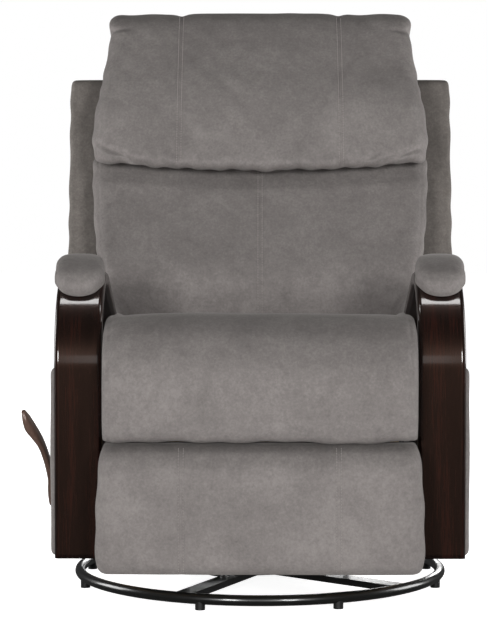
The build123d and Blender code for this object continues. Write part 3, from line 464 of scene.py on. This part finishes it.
# ---------------------------------------------------------------- cushions
def head_pillow():
    """Pillow at the head: thick at its foot, thin at its crown, three sewn panels, a tuck near each
    top corner, and gathers where its foot is sewn down. A rounded box whose width and depth follow
    the tables by the share of its height; its foot hangs 25 mm lower at the front, and up to 18 mm
    more in the middle, so that it laps over the lumbar cushion."""
    low, high = 506 * MM, 836 * MM
    height, depth, half = high - low, 148 * MM, 333 * MM
    points, quads = rounded_box(half, depth, height, 40 * MM, (30 * MM, 15 * MM, 30 * MM), 4.5 * MM,
                                square=(5, 2.3))
    x, y, v = points.T
    s = v / height
    t = x / half
    wide = profile(s, ((0, 0.980), (0.10, 1.0), (0.22, 0.994), (0.42, 0.962), (0.62, 0.938), (0.76, 0.920),
                       (0.84, 0.917), (0.92, 0.926), (1.0, 0.92)))
    deep = profile(s, ((0, 0.975), (0.06, 0.995), (0.16, 1.0), (0.30, 0.985), (0.42, 0.91), (0.55, 0.80), (0.72, 0.67),
                       (0.88, 0.53), (1.0, 0.38)))
    front = np.clip(-y / depth, 0, 1)
    y = y * deep * (1 + 0.03 * np.cos(np.pi * t / 2) * front)
    x = x * wide
    seam_at = 160 * MM
    seam = np.minimum(np.abs(x - seam_at), np.abs(x + seam_at))
    draw = valley(seam, 5 * MM, 2.0 * MM) + valley(seam, 24 * MM, 2.4 * MM)
    for side, start, end, width, depth_in in (       # gathers at the foot and tucks, in mm
            (-1, (326, 38), (266, 12), 3.2, 5.0), (-1, (318, 14), (205, 3), 2.6, 4.0),
            (-1, (296, 30), (236, 2), 3.4, 5.0), (-1, (206, 16), (166, 2), 4.0, 4.0),
            (-1, (190, 40), (120, 4), 11, 2.4), (-1, (322, 278), (258, 283), 4.5, 3.6),
            (1, (322, 30), (262, 8), 3.4, 4.5), (1, (300, 24), (222, 2), 2.8, 4.5),
            (1, (236, 26), (190, 4), 3.6, 4.0), (1, (184, 18), (150, 2), 4.0, 3.6),
            (1, (150, 38), (90, 4), 12, 2.4), (1, (324, 272), (262, 279), 4.5, 3.6)):
        segment = [(a * MM, b * MM) for a, b in (start, end)]
        draw += fold(x * side, v, *segment, width * MM, depth_in * MM)
    draw += softness(x, v, 1.8 * MM, 0.13, 1) + softness(x, v, 0.5 * MM, 0.035, 11)
    y = y + draw * front ** 0.5
    v = v - 18 * MM * np.maximum(1 - t ** 2, 0) ** 1.2 * (1 - smooth_step(s, 0, 0.45))
    v = v - 25 * MM * smooth_step(front, 0.62, 0.95) * (1 - smooth_step(s, 0, 0.40))
    v = v - 1.5 * MM * (np.sin(x / (17 * MM) + 1) + np.sin(x / (7.3 * MM) + 2 * t)) * (1 - smooth_step(s, 0, 0.12))
    crown_waves = 1.2 * MM * np.sin(x / (15 * MM) + 0.6) * smooth_step(np.abs(t), 0.35, 0.7)
    v = v - (valley(seam, 12 * MM, 4.0 * MM) + crown_waves) * smooth_step(s, 0.88, 1.0)
    v = v - 2.5 * MM * smooth_step(np.abs(t), 0.5, 0.75) * smooth_step(s, 0.6, 1.0)
    tuck = valley(s - 0.85, 0.022, 4.0 * MM) * smooth_step(np.abs(t), 0.88, 1.0)
    rim = 1.0 * MM * np.sin(v / (8 * MM) + np.sin(v / (23 * MM))) * smooth_step(np.abs(t), 0.9, 1.0) * (s < 0.82)
    x = x - np.sign(x) * (tuck + rim)
    placed = leaned(np.stack([x, y - CUSHION_REAR, v + low], axis=1))
    pillow = outward(mesh_object("head_pillow_cover", placed, quads, suede))
    subdivide(pillow)
    finish(pillow, "back", "head_pillow", fill=0.75)
    up = np.linspace(low - 26 * MM, high - 14 * MM, 90)      # from below the front of the hanging foot
    panel_stitches("pillow", pillow, seam_at, lambda across: back_line(across, up), INTO_BACK, "back")


def lumbar_cushion():
    """Back cushion that fills the width above the arms, with one sewn seam down its middle and a
    boxing seam along each side; its top runs on behind the head pillow's foot."""
    low, high = 150 * MM, 522 * MM
    height, depth, half = high - low, 116 * MM, 338 * MM
    points, quads = rounded_box(half, depth, height, 40 * MM, (32 * MM, 36 * MM, 26 * MM), 5.0 * MM)
    x, y, v = points.T
    s = v / height
    t = x / half
    wide = profile(v / MM, ((0, 0.766), (30, 0.80), (55, 0.846), (85, 0.905), (110, 0.930), (140, 0.945),
                            (175, 0.958), (243, 0.978), (285, 0.986), (330, 0.992), (372, 0.99)))
    deep = profile(s, ((0, 0.55), (0.09, 0.78), (0.20, 0.98), (0.34, 1.05), (0.50, 0.99), (0.70, 0.86), (0.86, 0.76),
                       (1.0, 0.68)))
    front = np.clip(-y / depth, 0, 1)
    y = y * deep * (1 + 0.05 * np.cos(np.pi * t / 2) * front)
    boxing = np.abs(np.abs(x) - (half - 13 * MM))
    x = x * wide
    draw = valley(x, 4.5 * MM, 2.2 * MM) + valley(x, 30 * MM, 3.0 * MM) + valley(boxing, 2.4 * MM, 1.6 * MM)
    for side in (-1, 1):
        sx = x * side
        draw += fold(sx, v, (3 * MM, 318 * MM), (110 * MM, 352 * MM), 9 * MM, 2.5 * MM, ridge=0.0)
        draw += fold(sx, v, (30 * MM, 322 * MM), (170 * MM, 346 * MM), 13 * MM, 2.5 * MM, ridge=0.0)
        draw += fold(sx, v, (318 * MM, 96 * MM), (210 * MM, 84 * MM), 20 * MM, 5 * MM, ridge=0.1)
    draw += softness(x, v, 2.2 * MM, 0.17, 2) + softness(x, v, 0.5 * MM, 0.04, 12)
    y = y + draw * front ** 0.5
    rim = 1.0 * MM * np.sin(v / (10 * MM) + np.sin(v / (27 * MM))) * smooth_step(np.abs(t), 0.9, 1.0)
    x = x - np.sign(x) * rim
    placed = leaned(np.stack([x, y - CUSHION_REAR, v + low], axis=1))
    cushion = outward(mesh_object("lumbar_cushion_cover", placed, quads, suede))
    subdivide(cushion)
    finish(cushion, "back", "lumbar_cushion", fill=0.7)
    up = np.linspace(low + 10 * MM, high - 30 * MM, 90)
    for offset, side in ((-SEAM_TO_STITCH, "left"), (SEAM_TO_STITCH, "right")):
        stitches(f"lumbar_stitching_{side}", cushion, back_line(offset, up), INTO_BACK, "back")


def seat_cushion():
    """Seat cushion with a fat roll over its front edge: a closed side outline carried across X, drawn
    in towards both ends, with the side panels' seam as a groove near each end."""
    half, count = 274 * MM, 150
    rear, deck, top, back = 62 * MM, 326 * MM, 531 * MM, 496 * MM
    front, low, step_y = -468 * MM, 312.5 * MM, -350 * MM
    chin, brow, nose = 30 * MM, 128 * MM, low + 84 * MM      # depth of the roll's quarters, height of its nose
    underside = (
        ((rear, deck), (step_y, deck), 60),
        ((step_y, deck), (step_y - 12 * MM, low), 5),
        ((step_y - 12 * MM, low), (front + chin, low), 12),
    )
    outline = [np.linspace(a, b, n, endpoint=False) for a, b, n in underside]
    turn = np.linspace(-np.pi / 2, -np.pi, 26, endpoint=False)       # lower front quarter of the roll
    outline.append(np.stack([front + chin * (1 + np.cos(turn)),
                             nose - (nose - low) * np.abs(np.sin(turn)) ** 0.5], axis=1))
    turn = np.linspace(np.pi, np.pi / 2, 40, endpoint=False)         # upper front quarter
    outline.append(np.stack([front + brow * (1 - np.abs(np.cos(turn)) ** 0.86),
                             nose + (top - nose) * np.abs(np.sin(turn)) ** 0.80], axis=1))
    across = np.linspace(front + brow, rear - 14 * MM, 70)
    sag = 9 * MM * np.sin(np.pi * (across - across[0]) / (across[-1] - across[0]))
    fall = (top - back) * smooth_step(across, across[0], across[-1])
    outline.append(np.stack([across, top - fall - sag], axis=1))
    turn = np.linspace(np.pi / 2, 0, 8)[1:]
    outline.append(np.stack([rear - 14 * MM + 14 * MM * np.cos(turn), back - 14 * MM + 14 * MM * np.sin(turn)], axis=1))
    outline.append(np.linspace((rear, back - 22 * MM), (rear, deck + 4 * MM), 24))
    outline = np.concatenate(outline)
    middle = np.array([-190 * MM, 415 * MM])
    t = -np.cos(np.linspace(0, np.pi, count))
    t = np.sign(t) * (1 - (1 - np.abs(t)) ** 0.9)              # rows lie closer towards both ends
    # each outline point moves towards the middle line by a superellipse of the way to the end
    inset = 31 * MM * (1 - np.maximum(1 - np.abs(t) ** 15, 0) ** 0.5)
    toward = middle[None, :] - outline
    reach = np.linalg.norm(toward, axis=1, keepdims=True)
    direction = toward / reach
    x = np.repeat((t * half)[:, None], len(outline), axis=1)
    y = outline[None, :, 0] + inset[:, None] * direction[None, :, 0]
    lifted = np.where(outline[:, 1] < 0.36, 0.25, 1.0)          # the underside hardly turns up at the ends
    z = outline[None, :, 1] + inset[:, None] * (direction[:, 1] * lifted)[None, :]
    crown = 10 * MM * np.cos(np.pi * t / 2)[:, None]
    on_top = smooth_step(z, 0.44, 0.50) * smooth_step(-y, 0.0, 0.10)
    beside_roll = smooth_step(-y, 0.05, 0.12) * smooth_step(y, -0.36, -0.30)
    z = z + 9 * MM * smooth_step(np.abs(x), 0.236, 0.256) * beside_roll * smooth_step(z, 0.44, 0.50)
    on_front = smooth_step(-y, 0.40, 0.45)
    z = z + (crown - 8 * MM) * on_top * 0.35
    hem = 1.1 * MM * (np.sin(x / (31 * MM)) + np.sin(x / (12 * MM) + 1))
    z = z + hem * smooth_step(-y, 0.40, 0.44) * smooth_step(-z, -0.345, -0.325)
    y = y - (crown - 6 * MM) * on_front * 0.7
    seam = np.abs(np.abs(x) - (half - 13 * MM))
    outer = smooth_step(-y, 0.20, 0.30) + smooth_step(z, 0.44, 0.47)
    draw = valley(seam, 3.5 * MM, 2.2 * MM) * np.clip(outer, 0, 1)
    draw += softness(x, y + z, 2.4 * MM, 0.19, 3) * np.clip(outer, 0, 1)
    gather = 1.5 * MM * np.sin((y + z) / (11 * MM) + 2 * np.sin((y - z) / (37 * MM)))
    draw += gather * valley(seam, 16 * MM, 1.0) * np.clip(outer, 0, 1)
    y = y + draw * direction[None, :, 0]
    z = z + draw * direction[None, :, 1]
    points = np.stack([x, y, z], axis=-1).reshape(-1, 3)
    n = len(outline)
    quads = grid_faces(count, n, close_columns=True)
    hubs = np.array([[-half, middle[0], middle[1]], [half, middle[0], middle[1]]])
    low_ring, high_ring = np.arange(n), (count - 1) * n + np.arange(n)
    fans = np.concatenate([
        np.stack([np.roll(low_ring, -1), low_ring, np.full(n, count * n)], axis=1),
        np.stack([high_ring, np.roll(high_ring, -1), np.full(n, count * n + 1)], axis=1)])
    faces = quads.tolist() + fans.tolist()
    cushion = outward(mesh_object("seat_cushion_cover", np.concatenate([points, hubs]), faces, suede))
    subdivide(cushion)
    finish(cushion, "seat", "seat_cushion", fill=0.8)


def footrest_pad():
    """Footrest pad: flat-backed, crowned, three sewn panels, its top a little narrower."""
    low, high = 83 * MM, 310.5 * MM
    height, depth, half = high - low, 72 * MM, 285 * MM
    points, quads = rounded_box(half, depth, height, 26 * MM, (26 * MM, 22 * MM, 18 * MM), 4.6 * MM,
                                square=(3.2, 3.0))
    x, y, v = points.T
    s = v / height
    t = x / half
    wide = profile(s, ((0, 0.985), (0.08, 0.997), (0.25, 1.0), (0.5, 0.996), (0.75, 0.985), (0.9, 0.972), (1.0, 0.955)))
    deep = profile(s, ((0, 0.86), (0.1, 0.95), (0.3, 1.0), (0.68, 1.0), (0.85, 0.95), (0.94, 0.85), (1.0, 0.76)))
    front = np.clip(-y / depth, 0, 1)
    y = y * deep * (1 + 0.05 * np.cos(np.pi * t / 2) * front)
    x = x * wide
    seam_at = 136 * MM
    seam = np.minimum(np.abs(x - seam_at), np.abs(x + seam_at))
    draw = valley(seam, 4 * MM, 1.8 * MM) + valley(seam, 24 * MM, 2.0 * MM)
    edge = np.abs(np.abs(x) - (half - 10 * MM) * wide)
    gather = 1.0 * MM * np.sin(v / (9 * MM) + 2 * np.sin(v / (31 * MM)))
    draw += valley(edge, 3 * MM, 1.2 * MM) + gather * valley(edge, 14 * MM, 1.0)
    draw += softness(x, v, 1.6 * MM, 0.15, 4)
    y = y + draw * front ** 0.5
    rim = 1.0 * MM * np.sin(v / (12 * MM) + 1) * smooth_step(np.abs(t), 0.9, 1.0)
    x = x - np.sign(x) * rim
    placed = np.stack([x, y - 402.4 * MM, v + low], axis=1)
    pad = outward(mesh_object("footrest_pad_cover", placed, quads, suede))
    subdivide(pad)
    finish(pad, "footrest", "footrest_pad", fill=0.8)
    up = np.linspace(low + 8 * MM, high - 6 * MM, 80)

    def upright_line(across):
        return np.stack([np.full_like(up, across), np.full_like(up, BEFORE_FOOTREST), up], axis=1)

    panel_stitches("footrest", pad, seam_at, upright_line, (0, 1, 0), "footrest")


def arm_path(rows, radius, start, rear_run):
    """Points (y, z) and outward normals of a line that runs round the arm's front bend at this
    radius, from the start angle to the crest, and then down the slope for rear_run; and its length
    at each point. Points lie evenly on each stretch, with closer ones at both ends."""
    arc = (ARM_CREST - start) * radius
    way = (0.5 - 0.5 * np.cos(np.pi * np.linspace(0, 1, rows))) * (arc + rear_run)
    angle = np.minimum(start + way / radius, ARM_CREST)
    normal = np.stack([-np.cos(angle), np.sin(angle)], axis=1)
    past = np.maximum(way - arc, 0)[:, None] * np.array([[math.cos(ARM_SLOPE), -math.sin(ARM_SLOPE)]])
    return np.array([FRONT_BEND]) + radius * normal + past, normal, way


def arm_pads():
    """Padded rests that lie along the arm's slope and wrap down its front bend. The section is a
    superellipse over a flat underside; its middle, half width and height follow the way along the
    arm, and both sizes fall to nothing over a round nose by (1 - (1 - w / reach)^p)^(1 / p)."""
    base, normal, way = arm_path(170, ARM_BEND_RADIUS, math.radians(48.5), 206 * MM)
    total = way[-1]
    along = way / total
    up = (1 - np.clip(1 - way / (34 * MM), 0, 1) ** 2.0) ** (1 / 2.0)
    up *= (1 - np.clip(1 - (total - way) / (18 * MM), 0, 1) ** 2.0) ** (1 / 2.0)
    out = (1 - np.clip(1 - way / (52 * MM), 0, 1) ** 2.1) ** (1 / 2.1)
    out *= (1 - np.clip(1 - (total - way) / (22 * MM), 0, 1) ** 2.6) ** (1 / 2.6)
    middle = profile(along, ((0, 322.5), (0.12, 322.5), (0.30, 326), (0.50, 327.5), (1.0, 325))) * MM
    half = profile(along, ((0, 44.5), (0.12, 45.0), (0.30, 43.5), (0.50, 41), (1.0, 36))) * MM
    tall = profile(along, ((0, 32), (0.15, 33), (0.35, 30), (0.6, 28), (1.0, 27))) * MM
    turn = np.linspace(0, 2 * np.pi, 64, endpoint=False)
    section_x = np.sign(np.cos(turn)) * np.abs(np.cos(turn)) ** 0.57
    lift = np.sin(turn)
    over = np.where(lift > 0, np.abs(lift) ** 0.62, 0.0)
    under = np.where(lift < 0, -np.abs(lift) ** 0.4, 0.0)
    up, out = np.maximum(up, 0.02), np.maximum(out, 0.02)
    rise = (tall * up)[:, None] * over[None, :] + 1.8 * MM + (1.6 * MM * up)[:, None] * under[None, :]
    ripple = 0.6 * MM * np.sin(way / (7 * MM) + 2 * np.sin(way / (31 * MM)))
    edge = ripple[:, None] * (np.abs(section_x) > 0.93)[None, :]
    x = (half * out)[:, None] * section_x[None, :] + edge * section_x[None, :]
    rise = rise + softness(x, way[:, None] + 0 * x, 0.9 * MM, 0.09, 5) * over[None, :]
    y = base[:, 0][:, None] + rise * normal[:, 0][:, None]
    z = base[:, 1][:, None] + rise * normal[:, 1][:, None]
    rows, columns = x.shape
    faces = tube_faces(rows, columns)
    for side, name in ((-1, "left"), (1, "right")):
        points = np.stack([side * (middle[:, None] + x), y, z], axis=-1).reshape(-1, 3)
        pad = outward(mesh_object(f"arm_pad_cover_{name}", points, faces, suede), merge=1e-6)
        subdivide(pad)
        finish(pad, "platform", f"arm_pad_{name}", fill=0.85)


def side_panels():
    """Upholstered side panels inside the arms' loops: a thin pad with a crowned outer face, cut
    round at its upper rear corner."""
    inner, outer = 280 * MM, 375 * MM
    front, rear, low, high = -353.6 * MM, 123.6 * MM, 100 * MM, 436 * MM
    corner = 44 * MM
    for side, name in ((-1, "left"), (1, "right")):
        points, quads = rounded_box((rear - front) / 2, outer - inner, high - low, 15 * MM,
                                    (12 * MM, 9 * MM, 12 * MM), 6 * MM, square=(3.0, 3.0), rear=5 * MM)
        across, deep, v = points.T
        y, z = across + (front + rear) / 2, v + low
        crown = np.cos(np.pi * across / (rear - front)) * np.sin(np.pi * v / (high - low))
        face = np.clip(-deep / (outer - inner), 0, 1)
        push = (4.0 * MM * crown + softness(across, v, 1.0 * MM, 0.2, 6) - 3.5 * MM) * face ** 4
        # the square corner is drawn onto a quarter circle, by the share of the way out from its centre
        dy, dz = np.maximum(y - (rear - corner), 0), np.maximum(z - (high - corner), 0)
        reach = np.maximum(np.hypot(dy, dz), 1e-9)
        pull = np.maximum(dy, dz) / reach
        y, z = y - dy * (1 - pull), z - dz * (1 - pull)
        placed = np.stack([side * (inner - deep + push), y, z], axis=1)
        panel = outward(mesh_object(f"side_panel_cover_{name}", placed, quads, suede))
        subdivide(panel)
        finish(panel, "platform", f"side_panel_{name}", fill=0.9)


def wings():
    """Flat padded wings behind the cushions, with a boxing seam a little inside the outer edge."""
    low, high, inner = 162 * MM, 712 * MM, 241 * MM
    height, depth = high - low, 50 * MM
    width = 388 * MM - inner
    for side, name in ((-1, "left"), (1, "right")):
        points, quads = rounded_box(width / 2, depth, height, 13 * MM, (14 * MM, 12 * MM, 20 * MM), 5 * MM,
                                    square=(2.6, 2.6), rear=6 * MM)
        x, y, v = points.T
        s = v / height
        x = x + width / 2
        t = x / width
        x = x * (1 + 4 * MM * (s - 0.5) / width) + inner
        front = np.clip(-y / depth, 0, 1)
        seam = valley(t * width - (width - 13 * MM), 2.6 * MM, 2.2 * MM)
        y = y + (seam + softness(x, v, 1.4 * MM, 0.15, 8)) * front
        rim = 1.0 * MM * np.sin(v / (14 * MM) + np.sin(v / (39 * MM))) * smooth_step(t, 0.9, 1.0)
        placed = leaned(np.stack([side * (x - rim), y + 25 * MM, v + low], axis=1))
        # the wings take the darker suede copy: painted shade from the cushions before them
        wing = outward(mesh_object(f"wing_cover_{name}", placed, quads, shade_darkened_suede))
        subdivide(wing)
        finish(wing, "back", f"wing_{name}", fill=0.8)


def softened_copy(node, name, voxel, rounds, cloth):
    """A copy of a CAD solid with its edges softened: merged, remeshed on a grid and smoothed."""
    source = frame["nodes"][node]
    copy = bpy.data.objects.new(name, source.data.copy())
    bpy.context.scene.collection.objects.link(copy)
    outward(copy, merge=0.00002)
    remesh = copy.modifiers.new("even grid", "REMESH")
    remesh.mode = "VOXEL"
    remesh.voxel_size = voxel
    smooth = copy.modifiers.new("soften", "SMOOTH")
    smooth.factor, smooth.iterations = 0.5, rounds
    apply_modifiers(copy)
    copy.data.materials.clear()
    copy.data.materials.append(cloth)
    copy.data.polygons.foreach_set("use_smooth", np.ones(len(copy.data.polygons), bool))
    return copy


def covered_frames():
    """Stretched cover over the back's rear face and shoulders, and the cloth wrapped round the back's
    posts and rails and the footrest's board, which show beside the cushions."""
    for node, name, body, voxel, rounds, fill in (
            ("outer_back_panel", "outer_back_cover", "back", 6 * MM, 5, 0.9),
            ("back_posts", "back_post_covers", "back", 4 * MM, 3, None),
            ("back_rails", "back_rail_covers", "back", 5 * MM, 2, None),
            ("footrest_board", "footrest_board_cover", "footrest", 4 * MM, 3, None)):
        # these covers take the darker suede copy: painted shade beside and behind the cushions
        finish(softened_copy(node, name, voxel, rounds, shade_darkened_suede), body, node, fill=fill)


# ---------------------------------------------------------------- bentwood arms
def bentwood_arms():
    """Moulded plywood band, 84 by 26 mm with rounded edges, carried along the arm's outline: up the
    front leg, round the front bend, down the slope, round the rear bend and down the rear leg. UV
    runs along the band."""
    low, thick, wide, edge = 100 * MM, 26 * MM, 84 * MM, 8 * MM
    front, rear = np.array(FRONT_BEND), np.array(REAR_BEND)
    forward, back = np.array([-1.0, 0.0]), np.array([1.0, 0.0])
    crest = np.array([math.sin(ARM_SLOPE), math.cos(ARM_SLOPE)])
    start, end = front + ARM_BEND_RADIUS * crest, rear + REAR_BEND_RADIUS * crest
    stretches = (                # first and last point, centre of the bend if there is one, and points
        ((front[0] - ARM_BEND_RADIUS, low), front + ARM_BEND_RADIUS * forward, None, 40),
        (front + ARM_BEND_RADIUS * forward, start, front, 80),
        (start, end, None, 30),
        (end, rear + REAR_BEND_RADIUS * back, rear, 44),
        (rear + REAR_BEND_RADIUS * back, (rear[0] + REAR_BEND_RADIUS, low), None, 40),
    )
    path, normal = [], []
    for first, last, centre, count in stretches:
        k = np.linspace(0, 1, count, endpoint=last[1] == low)[:, None]
        first, last = np.array(first), np.array(last)
        if centre is None:
            path.append(first + k * (last - first))
            along = (last - first) / np.linalg.norm(last - first)
            normal.append(np.tile([-along[1], along[0]], (count, 1)))
        else:
            a, b = [math.atan2(*(p - centre)[::-1]) for p in (first, last)]
            turn = a + k[:, 0] * (b - a)
            out = np.stack([np.cos(turn), np.sin(turn)], axis=1)
            path.append(centre + np.linalg.norm(first - centre) * out)
            normal.append(out)
    path, normal = np.concatenate(path), np.concatenate(normal)
    way = np.concatenate([[0], np.cumsum(np.linalg.norm(np.diff(path, axis=0), axis=1))])
    # section: a rounded rectangle, x across and d inwards from the outer face
    quarter = np.linspace(0, np.pi / 2, 7)
    corner, inset = wide / 2 - edge, 1.5 * MM                  # the inset points keep the flats flat
    loop = np.concatenate([
        np.concatenate([np.stack([x + edge * np.cos(first + quarter), d + edge * np.sin(first + quarter)], axis=1),
                        flats])
        for x, d, first, flats in (
            (corner, edge, -np.pi / 2, [(wide / 2, edge + inset), (wide / 2, thick - edge - inset)]),
            (corner, thick - edge, 0, [(corner - inset, thick), (0, thick), (inset - corner, thick)]),
            (-corner, thick - edge, np.pi / 2, [(-wide / 2, thick - edge - inset), (-wide / 2, edge + inset)]),
            (-corner, edge, np.pi, [(inset - corner, 0), (0, 0), (corner - inset, 0)]))])
    rows, columns = len(path), len(loop)
    y = path[:, None, 0] - loop[None, :, 1] * normal[:, None, 0]
    z = path[:, None, 1] - loop[None, :, 1] * normal[:, None, 1]
    x = np.repeat(loop[None, :, 0], rows, axis=0)
    girth = np.concatenate([[0], np.cumsum(np.linalg.norm(np.diff(loop, axis=0), axis=1))])
    uv = np.stack([np.repeat(girth[None], rows, axis=0), np.repeat(way[:, None], columns, axis=1)], axis=-1)
    faces = tube_faces(rows, columns)
    for side, name in ((-1, "left"), (1, "right")):
        points = np.stack([side * (ARM_MIDDLE + x), y, z], axis=-1).reshape(-1, 3)
        shifted = uv.reshape(-1, 2) + np.array([side * 0.37, side * 0.61])
        arm = outward(mesh_object(f"bentwood_band_{name}", points, faces, arm_wood, uv=shifted, flat=2))
        finish(arm, "platform", f"bentwood_arm_{name}", slot="bentwood")


def lever_paddle():
    """Carved wooden lever: a round hub plate, a neck that leans forward and outward, and a paddle
    with a stepped outer lobe near its top. Sections across the length are superellipses whose
    thickness, width and place out from the panel follow the tables."""
    count, columns = 120, 40
    length = 180 * MM
    s = np.linspace(-0.135, 1.0, count)
    inner = profile(s, ((-0.135, 374.3), (0.10, 374.4), (0.30, 382.0), (0.50, 390.0), (0.65, 397.5), (0.80, 409.0),
                        (0.92, 420.0), (1.0, 427.5))) * MM
    thick = profile(s, ((-0.135, 18.0), (0.08, 20.0), (0.20, 15.5), (0.45, 12.5), (0.60, 13.5), (0.72, 18.5),
                        (0.80, 21.0), (0.88, 17.0), (0.95, 11.5), (1.0, 7.5))) * MM
    wide = profile(s, ((-0.135, 12.0), (-0.09, 36.0), (0.0, 47.0), (0.10, 41.0), (0.22, 32.0), (0.45, 28.0),
                       (0.65, 29.0), (0.82, 32.0), (0.93, 27.0), (1.0, 12.0))) * MM
    turn = np.linspace(0, 2 * np.pi, columns, endpoint=False)
    out = np.sign(np.cos(turn)) * np.abs(np.cos(turn)) ** 0.7
    across = np.sign(np.sin(turn)) * np.abs(np.sin(turn)) ** 0.9
    x = -(inner[:, None] + thick[:, None] * (0.5 + 0.5 * out[None, :]))
    w = wide[:, None] * across[None, :] / 2
    lean_s, lean_c = math.sin(LEVER_LEAN), math.cos(LEVER_LEAN)
    y = LEVER_PIVOT[0] - s[:, None] * length * lean_s + w * lean_c
    z = LEVER_PIVOT[1] + s[:, None] * length * lean_c + w * lean_s
    points = np.stack([x, y, z], axis=-1).reshape(-1, 3)
    paddle = outward(mesh_object("lever_paddle", points, tube_faces(count, columns), lever_wood), merge=1e-6)
    subdivide(paddle)
    finish(paddle, "lever", "lever_handle", slot="lever_wood")


# ---------------------------------------------------------------- stage
def studio():
    """Pale floor and white air, which glow for the camera and hardly light the chair; a pair of far
    keys in front, boxes at both sides and behind, and a front panel and two top strips that leave
    their marks along the lacquered arms."""
    bpy.ops.mesh.primitive_plane_add(size=30)
    floor = bpy.context.object
    floor.name = "studio_floor"
    material, tree, shader = new_material("matt_studio_floor", Base_Color=linear("#f4f4f4"), Roughness=0.9,
                                          Emission_Color=linear("#ffffff"))
    rays = add_node(tree, "ShaderNodeLightPath")
    glow = add_node(tree, "ShaderNodeMapRange", To_Min=FLOOR_GLOW_CAST, To_Max=FLOOR_GLOW_SEEN,
                    links=[("Value", rays, "Is Camera Ray")])
    tree.links.new(glow.outputs["Result"], shader.inputs["Emission Strength"])
    floor.data.materials.append(material)
    floor.visible_glossy = False
    world = bpy.data.worlds.new("studio")
    bpy.context.scene.world = world
    world.use_nodes = True
    tree = world.node_tree
    tree.nodes["Background"].inputs["Color"].default_value = linear("#ffffff")
    rays = add_node(tree, "ShaderNodeLightPath")
    around = add_node(tree, "ShaderNodeMapRange", To_Min=0.05, To_Max=0.20,
                      links=[("Value", rays, "Is Diffuse Ray")])
    strength = add_node(tree, "ShaderNodeMix", data_type="FLOAT", B=1.0,
                        links=[("Factor", rays, "Is Camera Ray"), ("A", around, "Result")])
    tree.links.new(strength.outputs["Result"], tree.nodes["Background"].inputs["Strength"])
    lights = (                  # place, target, width, height and power
        ("left_box", (-2.35, -7.3, 1.85), (0, 0, 0.55), 1.2, 1.5, 260),
        ("right_box", (2.35, -7.3, 1.85), (0, 0, 0.55), 1.2, 1.5, 260),
        ("left_side_box", (-3.4, 0.7, 1.1), (0, 0.1, 0.5), 1.6, 1.6, 60),
        ("right_side_box", (3.4, 0.7, 1.1), (0, 0.1, 0.5), 1.6, 1.6, 60),
        ("front_panel", (0.0, -4.5, 1.0), (0, 0, 1.0), 1.4, 0.7, 3.5),
        ("left_top_strip", (-0.39, -0.376, 1.4), (-0.39, -0.376, 0), 0.26, 0.14, 1.6),
        ("right_top_strip", (0.39, -0.376, 1.4), (0.39, -0.376, 0), 0.26, 0.14, 1.6),
        ("rear_box", (0.8, 3.6, 1.7), (0, 0, 0.5), 2.0, 1.8, 75),
    )
    for name, place, target, width, height, power in lights:
        data = bpy.data.lights.new(name, "AREA")
        data.shape = "RECTANGLE"
        data.size, data.size_y, data.energy = width, height, power
        light = bpy.data.objects.new(name, data)
        light.visible_camera = False
        light.location = place
        light.rotation_mode = "QUATERNION"
        light.rotation_quaternion = (Vector(target) - Vector(place)).to_track_quat("-Z", "Y")
        bpy.context.scene.collection.objects.link(light)


def camera():
    """Camera level with the head pillow's foot, 4.3 m in front, aimed slightly down and left."""
    data = bpy.data.cameras.new("studio_camera")
    data.lens = CAMERA_LENS
    data.sensor_width = 36.0
    made = bpy.data.objects.new("studio_camera", data)
    made.location = CAMERA_PLACE
    made.rotation_euler = (math.pi / 2 - CAMERA_DOWN, 0.0, CAMERA_LEFT)
    bpy.context.scene.collection.objects.link(made)
    bpy.context.scene.camera = made
    bpy.context.scene.view_settings.view_transform = "Standard"


camera()
studio()
head_pillow()
lumbar_cushion()
seat_cushion()
footrest_pad()
arm_pads()
side_panels()
wings()
covered_frames()
bentwood_arms()
lever_paddle()
